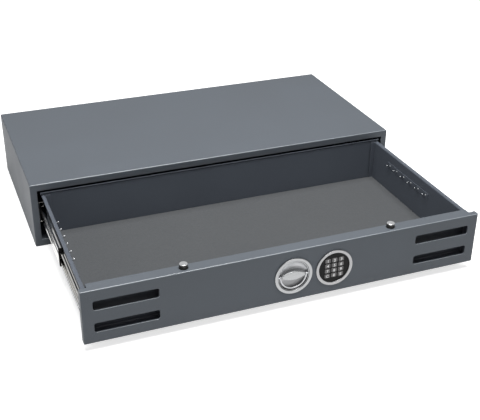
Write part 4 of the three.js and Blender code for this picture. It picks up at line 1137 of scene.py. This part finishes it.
screw_seat = slide_plane - inner_web + SLIDE_SHEET - SLIDE_SCREW_SINK
for hand, side in HANDS:
    heads = [pan_head((side * screw_seat, drawer_front + depth, lock_height), (side, 0, 0))
             for depth in SLIDE_SCREW_DEPTHS]
    piece(f"slide_screws_{hand}", together(*heads), "drawer", zinc_across)
cover_heads = [pan_head((side * x, cover_high.y - COVER_SCREW_SINK, z), (0, 1, 0))
               for x in COVER_SCREW_X for _, side in HANDS for z in cover_rows]
piece("lock_cover_screws", together(*cover_heads), "drawer", zinc_across)

# %% [markdown]
# ## The handle
# A satin ring stands proud of the panel. In it sits a dish with a boat-shaped grip across, and a
# half ring, the bail, that folds up out of the dish to pull the drawer. Dish, ring and bail are all
# turned parts, so each is a section spun round the lock's axis. The grip is an outline that is
# drawn out and then softly rounded, which gives its edge the bright line seen in the photograph.

# %% Rings round the handle and the keypad
RING_OUTER = 44 * MM
RING_INNER = 37 * MM
RING_PROUD = 3 * MM
RING_SLOPE = 0.7 * MM
RING_ROUND = 1.0 * MM
BARREL_RADIUS = 38.8 * MM
BARREL_DEPTH = 14 * MM
HOUSING_FLOOR = 1.6 * MM
SPINDLE_HOLE = 5.3 * MM

ring_face = [(RING_INNER, RING_SLOPE - RING_PROUD), (RING_OUTER, -RING_PROUD), (RING_OUTER, 0),
             (BARREL_RADIUS, 0), (BARREL_RADIUS, BARREL_DEPTH)]
housing_back = [(SPINDLE_HOLE, BARREL_DEPTH), (SPINDLE_HOLE, BARREL_DEPTH - HOUSING_FLOOR),
                (RING_INNER, BARREL_DEPTH - HOUSING_FLOOR)]
for name, back, centre, finish, node in (
        ("handle_bezel", housing_back, handle_centre, handle_satin, "handle_housing"),
        ("keypad_bezel", [(RING_INNER, BARREL_DEPTH)], keypad_centre, keypad_satin, "keypad_ring")):
    bezel = turned(ring_face + back, centre, rounding=RING_ROUND, chosen=[0, 1], facets=128)
    piece(name, bezel, "drawer", finish, [node])

# %% Dish: a bowl with a soft round wall
DISH_RADIUS = 36.4 * MM
DISH_RIM = 1.4 * MM
DISH_FRONT = -1.2 * MM
DISH_BACK = 12.1 * MM
DISH_EDGE = 0.6 * MM
BOWL_DEPTH = 9.5 * MM
BOWL_RISE = 8.0 * MM
BOWL_FLATNESS = 3.2
BOWL_SQUARENESS = 0.59
BOWL_STEPS = 26

bowl_radius = DISH_RADIUS - DISH_RIM
bowl = []
for step in range(BOWL_STEPS + 1):
    share = math.sin(math.pi / 2 * step / BOWL_STEPS)
    rise = BOWL_RISE * (1 - max(0.0, 1 - share ** BOWL_FLATNESS) ** BOWL_SQUARENESS)
    bowl.append((share * bowl_radius, BOWL_DEPTH - rise))
rim_first = len(bowl)
dish = turned(
    bowl + [(bowl_radius, DISH_FRONT), (DISH_RADIUS, DISH_FRONT), (DISH_RADIUS, DISH_BACK),
            (0, DISH_BACK)],
    handle_centre, rounding=DISH_EDGE, chosen=[rim_first, rim_first + 1], facets=128)

# %% Grip: a boat-shaped bar across the dish
GRIP_HALF_LENGTH = 27.3 * MM
GRIP_END_HALF = 3.5 * MM
GRIP_SWELL = 7.7 * MM
GRIP_FRONT = -1.8 * MM
GRIP_ROOT = 1.5 * MM
GRIP_ROUND = 2.2 * MM
GRIP_STEPS = 18

upper = []
for step in range(GRIP_STEPS + 1):
    share = 1 - 2 * step / GRIP_STEPS
    upper.append((share * GRIP_HALF_LENGTH, GRIP_END_HALF + GRIP_SWELL * (1 - share ** 2)))
grip_outline = upper + [(-x, -z) for x, z in upper]
grip = cut_plate(grip_outline, BOWL_DEPTH + GRIP_ROOT - GRIP_FRONT)
grip = moved(grip, Matrix.Translation((0, drawer_front + GRIP_FRONT, lock_height)) @ STANDING)
round_edges(grip, lambda at: at.y < drawer_front + GRIP_FRONT + AT_FACE, GRIP_ROUND, 6)
piece("handle_dish_and_grip", together(second_finish(dish), grip), "handle", handle_satin,
      ["handle_dish"], second=bowl_satin)

# %% Bail: half a ring with an eye at each end, on two pins
BAIL_INNER, BAIL_OUTER = 28.4 * MM, 32.4 * MM
BAIL_FRONT, BAIL_BACK = -1.3 * MM, 2.3 * MM
BAIL_ROUND = 1.3 * MM
BAIL_STEPS = 56
EYE_RADIUS = 3 * MM
EYE_ROUND = 0.5 * MM
PIN_HOLE_RADIUS = 1.7 * MM
PIN_RADIUS = 1.4 * MM
PIN_ROUND = 0.4 * MM

bail_middle = (BAIL_INNER + BAIL_OUTER) / 2
start_turn = math.asin((EYE_RADIUS + PIN_HOLE_RADIUS) / 2 / bail_middle)
half_ring = bmesh.new()
closed_line(half_ring, rectangle(BAIL_INNER, BAIL_OUTER, BAIL_FRONT, BAIL_BACK), BAIL_ROUND)
bmesh.ops.contextual_create(half_ring, geom=half_ring.edges[:])
bmesh.ops.rotate(half_ring, verts=half_ring.verts, cent=(0, 0, 0),
                 matrix=Matrix.Rotation(start_turn, 3, "Y"))
bmesh.ops.spin(half_ring, geom=half_ring.verts[:] + half_ring.edges[:] + half_ring.faces[:],
               cent=(0, 0, 0), axis=ALONG_Y, dvec=(0, 0, 0), angle=math.pi - 2 * start_turn,
               steps=BAIL_STEPS, use_duplicate=False)
bmesh.ops.recalc_face_normals(half_ring, faces=half_ring.faces)
bmesh.ops.translate(half_ring, verts=half_ring.verts, vec=handle_centre)
pivot = Vector((0, drawer_front + (BAIL_FRONT + BAIL_BACK) / 2, lock_height))
eyes = [
    turned([(PIN_HOLE_RADIUS, near), (EYE_RADIUS, near), (EYE_RADIUS, far), (PIN_HOLE_RADIUS, far)],
           pivot, axis=ALONG_X, rounding=EYE_ROUND, chosen=[1, 2], facets=40)
    for near, far in ((-BAIL_OUTER, -BAIL_INNER), (BAIL_INNER, BAIL_OUTER))
]
piece("handle_bail_ring", together(half_ring, *eyes), "bail", bail_satin,
      ["handle_bail"])
for hand, side in HANDS:
    low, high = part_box(f"bail_pin_{hand}")
    pin = rod(PIN_RADIUS, low.x, high.x, pivot, axis=ALONG_X, rounding=PIN_ROUND, chosen=[1, 2],
              facets=32)
    piece(f"bail_pivot_{hand}", pin, "handle", chrome, [f"bail_pin_{hand}"])

# %% [markdown]
# ## The keypad
# The keypad is a black moulding that fills its ring, with twelve grey keys in pockets. Each key
# has its pocket with a fine gap all round, and that gap, not the key, is what the eye finds first.
# The figures are raised by a hair, so that they keep a crisp outline in pale ink.

# %% Keypad body with its pockets
KEYPAD_FACE = -0.5 * MM
KEYPAD_POCKET = 5 * MM
KEYPAD_BACK = 11 * MM
KEYPAD_RADIUS = 36.7 * MM
KEYPAD_BACK_RADIUS = KEYPAD_RADIUS - 0.2 * MM
POCKET_EDGE = 0.3 * MM
KEY_WIDTH, KEY_HEIGHT, KEY_CORNER = 12.6 * MM, 10 * MM, 2 * MM
KEY_PITCH_X, KEY_PITCH_Z = 16.2 * MM, 12.8 * MM
KEY_FACE = -1.7 * MM
KEY_END = 3.5 * MM
KEY_GAP = 0.3 * MM
KEY_ROUND = 0.8 * MM
KEY_ROWS = (("1", "2", "3"), ("4", "5", "6"), ("7", "8", "9"), ("clear", "0", "enter"))
LEGENDS = {"clear": "C", "enter": "E"}


def key_place(column, row):
    return keypad_x + (column - 1) * KEY_PITCH_X, lock_height + (1.5 - row) * KEY_PITCH_Z


def key_outline(column, row, gap=0.0):
    x, z = key_place(column, row)
    across, up = KEY_WIDTH / 2 + gap, KEY_HEIGHT / 2 + gap
    return x - across, x + across, z - up, z + up


pockets = [(*key_outline(column, row, KEY_GAP), KEY_CORNER + KEY_GAP)
           for row in range(4) for column in range(3)]
face_plate = cut_plate(None, KEYPAD_POCKET - KEYPAD_FACE, slots=pockets, facets=128,
                       round_holes=[(keypad_x, lock_height, KEYPAD_RADIUS)])
standing(face_plate, drawer_front + KEYPAD_FACE)
round_edges(face_plate, lambda at: at.y < drawer_front + KEYPAD_FACE + AT_FACE, POCKET_EDGE, 3)
back_disc = rod(KEYPAD_BACK_RADIUS, KEYPAD_POCKET, KEYPAD_BACK, keypad_centre, facets=64)
piece("keypad_moulding", together(face_plate, back_disc), "drawer", plastic,
      ["keypad_body"])

# %% Keys, each with a soft edge and its figure
FIGURE_SIZE = 9.4 * MM
FIGURE_RAISED = 0.12 * MM
FIGURE_BOLD = 0.16 * MM
FIGURE_WELD = MM / 1000


def figure(text, x, z, face):
    """A raised figure on a key, centred on it, made from a font outline and turned to mesh."""
    curve = bpy.data.curves.new("figure", "FONT")
    curve.body = text
    curve.size = FIGURE_SIZE
    curve.extrude = FIGURE_RAISED
    curve.offset = FIGURE_BOLD
    curve.align_x, curve.align_y = "CENTER", "CENTER"
    holder = bpy.data.objects.new("figure", curve)
    outline = bpy.data.meshes.new_from_object(holder)
    shape = bmesh.new()
    shape.from_mesh(outline)
    bpy.data.objects.remove(holder)
    bpy.data.curves.remove(curve)
    bpy.data.meshes.remove(outline)
    bmesh.ops.remove_doubles(shape, verts=shape.verts, dist=FIGURE_WELD)
    low, high = (Vector(end(v.co[i] for v in shape.verts) for i in range(3)) for end in (min, max))
    bmesh.ops.translate(shape, verts=shape.verts, vec=-(low + high) / 2)
    facing = Matrix.Rotation(math.pi / 2, 4, "X")
    return moved(second_finish(shape), Matrix.Translation((x, face, z)) @ facing)


for row, names in enumerate(KEY_ROWS):
    for column, name in enumerate(names):
        key = cut_plate(rectangle(*key_outline(column, row)), KEY_END - KEY_FACE, corner=KEY_CORNER)
        standing(key, drawer_front + KEY_FACE)
        round_edges(key, lambda at: at.y < drawer_front + KEY_FACE + AT_FACE, KEY_ROUND, 4)
        mark = figure(LEGENDS.get(name, name), *key_place(column, row), drawer_front + KEY_FACE)
        piece(f"keypad_key_{name}", together(key, mark), f"key_{name}_cap", key_plastic,
              [f"key_{name}"], second=ink)

# %% [markdown]
# ## The locking bolts
# Two round bars stand up out of the band and hold the drawer shut behind the frame's top lip. Their
# ends are bright chrome, and their sides are painted dark, a painted shade. Below the band, hidden,
# each has a flat and a pin for the drive bar.

# %% Bolts with their flats and pins
BOLT_CHAMFER = 0.8 * MM
BOLT_EDGE = 0.25 * MM
BOLT_SIDE = 0.2
FOOT_EDGE = 0.5 * MM
FLAT_AT = 19.8 * MM
FLAT_TOP = 117 * MM
BOLT_PIN_RADIUS = 3 * MM
BOLT_PIN_HEIGHT = 91 * MM
BOLT_PIN_END = 23.6 * MM
bolt_section = [
    (0, FLAT_TOP), (bolt_radius, FLAT_TOP), (bolt_radius, bolt_high.z - BOLT_CHAMFER),
    (bolt_radius - BOLT_CHAMFER, bolt_high.z), (0, bolt_high.z),
]
for hand, side in HANDS:
    centre = (side * bolt_x, bolt_depth, 0)
    shaft = turned(bolt_section, centre, axis=ALONG_Z, rounding=BOLT_EDGE, chosen=[2, 3], facets=72)
    # The bolt's side gets the dark finish, a painted shade.
    second_finish(shaft, lambda face: abs(face.normal.z) < BOLT_SIDE)
    foot = rod(bolt_radius, bolt_low.z, FLAT_TOP, centre, axis=ALONG_Z, rounding=FOOT_EDGE,
               chosen=[1], facets=72)
    cut = bmesh.ops.bisect_plane(
        foot, geom=foot.verts[:] + foot.edges[:] + foot.faces[:],
        plane_co=(0, drawer_front + FLAT_AT, 0), plane_no=ALONG_Y, clear_outer=True)
    rim = [item for item in cut["geom_cut"] if isinstance(item, bmesh.types.BMEdge)]
    bmesh.ops.contextual_create(foot, geom=rim)
    bmesh.ops.recalc_face_normals(foot, faces=foot.faces)
    pin = rod(BOLT_PIN_RADIUS, bolt_depth - drawer_front, BOLT_PIN_END,
              (side * bolt_x, drawer_front, BOLT_PIN_HEIGHT), rounding=PIN_ROUND, chosen=[2],
              facets=40)
    piece(f"round_bolt_{hand}", together(shaft, foot, pin), f"bolt_{hand}", chrome,
          [f"locking_bolt_{hand}"], second=grease_and_shade)

# %% [markdown]
# ## Key hooks on the drawer's inner walls
# Small bright hooks stand on both side walls. They sit on a strip that is painted like the wall, so
# only the hooks themselves catch the eye. A hook is one turned stud, tilted up a little.

# %% Rails and hooks
HOOK_STEM = 1.5 * MM
HOOK_FLARE = 1.7 * HOOK_STEM
HOOK_FLARE_END, HOOK_STEM_START = 0.9 * MM, 1.6 * MM
HOOK_LENGTH = 10 * MM
HOOK_HEAD = 2.8 * MM
HOOK_HEAD_THICK = 2.2 * MM
HOOK_ROUND = 0.6 * MM
HOOK_TILT = 0.28
HOOK_HEIGHT = 105 * MM
HOOK_FIRST = 192 * MM
HOOK_PITCH = 35 * MM
HOOK_COUNT = 6
STRIP_THICK = 1.2 * MM
STRIP_HALF = 7 * MM

hook_end = HOOK_LENGTH + HOOK_HEAD_THICK
hook_section = [
    (0, 0), (HOOK_FLARE, 0), (HOOK_FLARE, HOOK_FLARE_END), (HOOK_STEM, HOOK_STEM_START),
    (HOOK_STEM, HOOK_LENGTH), (HOOK_HEAD, HOOK_LENGTH), (HOOK_HEAD, hook_end), (0, hook_end),
]
for hand, side in HANDS:
    low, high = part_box(f"key_rail_{hand}")
    strip = block((side * inner_half, low.y, HOOK_HEIGHT - STRIP_HALF),
                  (side * (inner_half - STRIP_THICK), high.y, HOOK_HEIGHT + STRIP_HALF))
    up = Vector((-side * math.cos(HOOK_TILT), 0, math.sin(HOOK_TILT)))
    turn = ALONG_Z.rotation_difference(up).to_matrix().to_4x4()
    hooks = []
    for count in range(HOOK_COUNT):
        stud = turned(hook_section, (0, 0, 0), axis=ALONG_Z, rounding=HOOK_ROUND, chosen=[4, 5, 6],
                      facets=32)
        seat = Vector((side * (inner_half - STRIP_THICK / 2),
                       drawer_front + HOOK_FIRST + count * HOOK_PITCH, HOOK_HEIGHT))
        hooks.append(moved(second_finish(stud), Matrix.Translation(seat) @ turn))
    piece(f"key_hooks_{hand}", together(strip, *hooks), "drawer", shaded_inner_coat, [f"key_rail_{hand}"],
          second=chrome)

# %% [markdown]
# ## The parts that keep their plain shape
# Behind the cover the lock's bars, guides and cam are flat or round parts whose exact shape is
# already right. They only need a finish: plated steel for the moving parts, moulded plastic for the
# lock's electronics and rubber for the buffer that stops the drawer.

# %% Finishes of the carried parts
CARRIED = {
    "strike_rail": zinc_across, "lock_chassis": zinc_across, "scroll_cam": zinc,
    "handle_spindle": zinc, "rear_buffer": rubber, "lock_body": plastic,
}
for hand, _ in HANDS:
    CARRIED[f"bolt_guide_{hand}"] = zinc
    CARRIED[f"drive_bar_{hand}"] = zinc_across
for name, material in CARRIED.items():
    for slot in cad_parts[name].material_slots:
        slot.material = material
print(len(CARRIED), "carried parts have a finish")
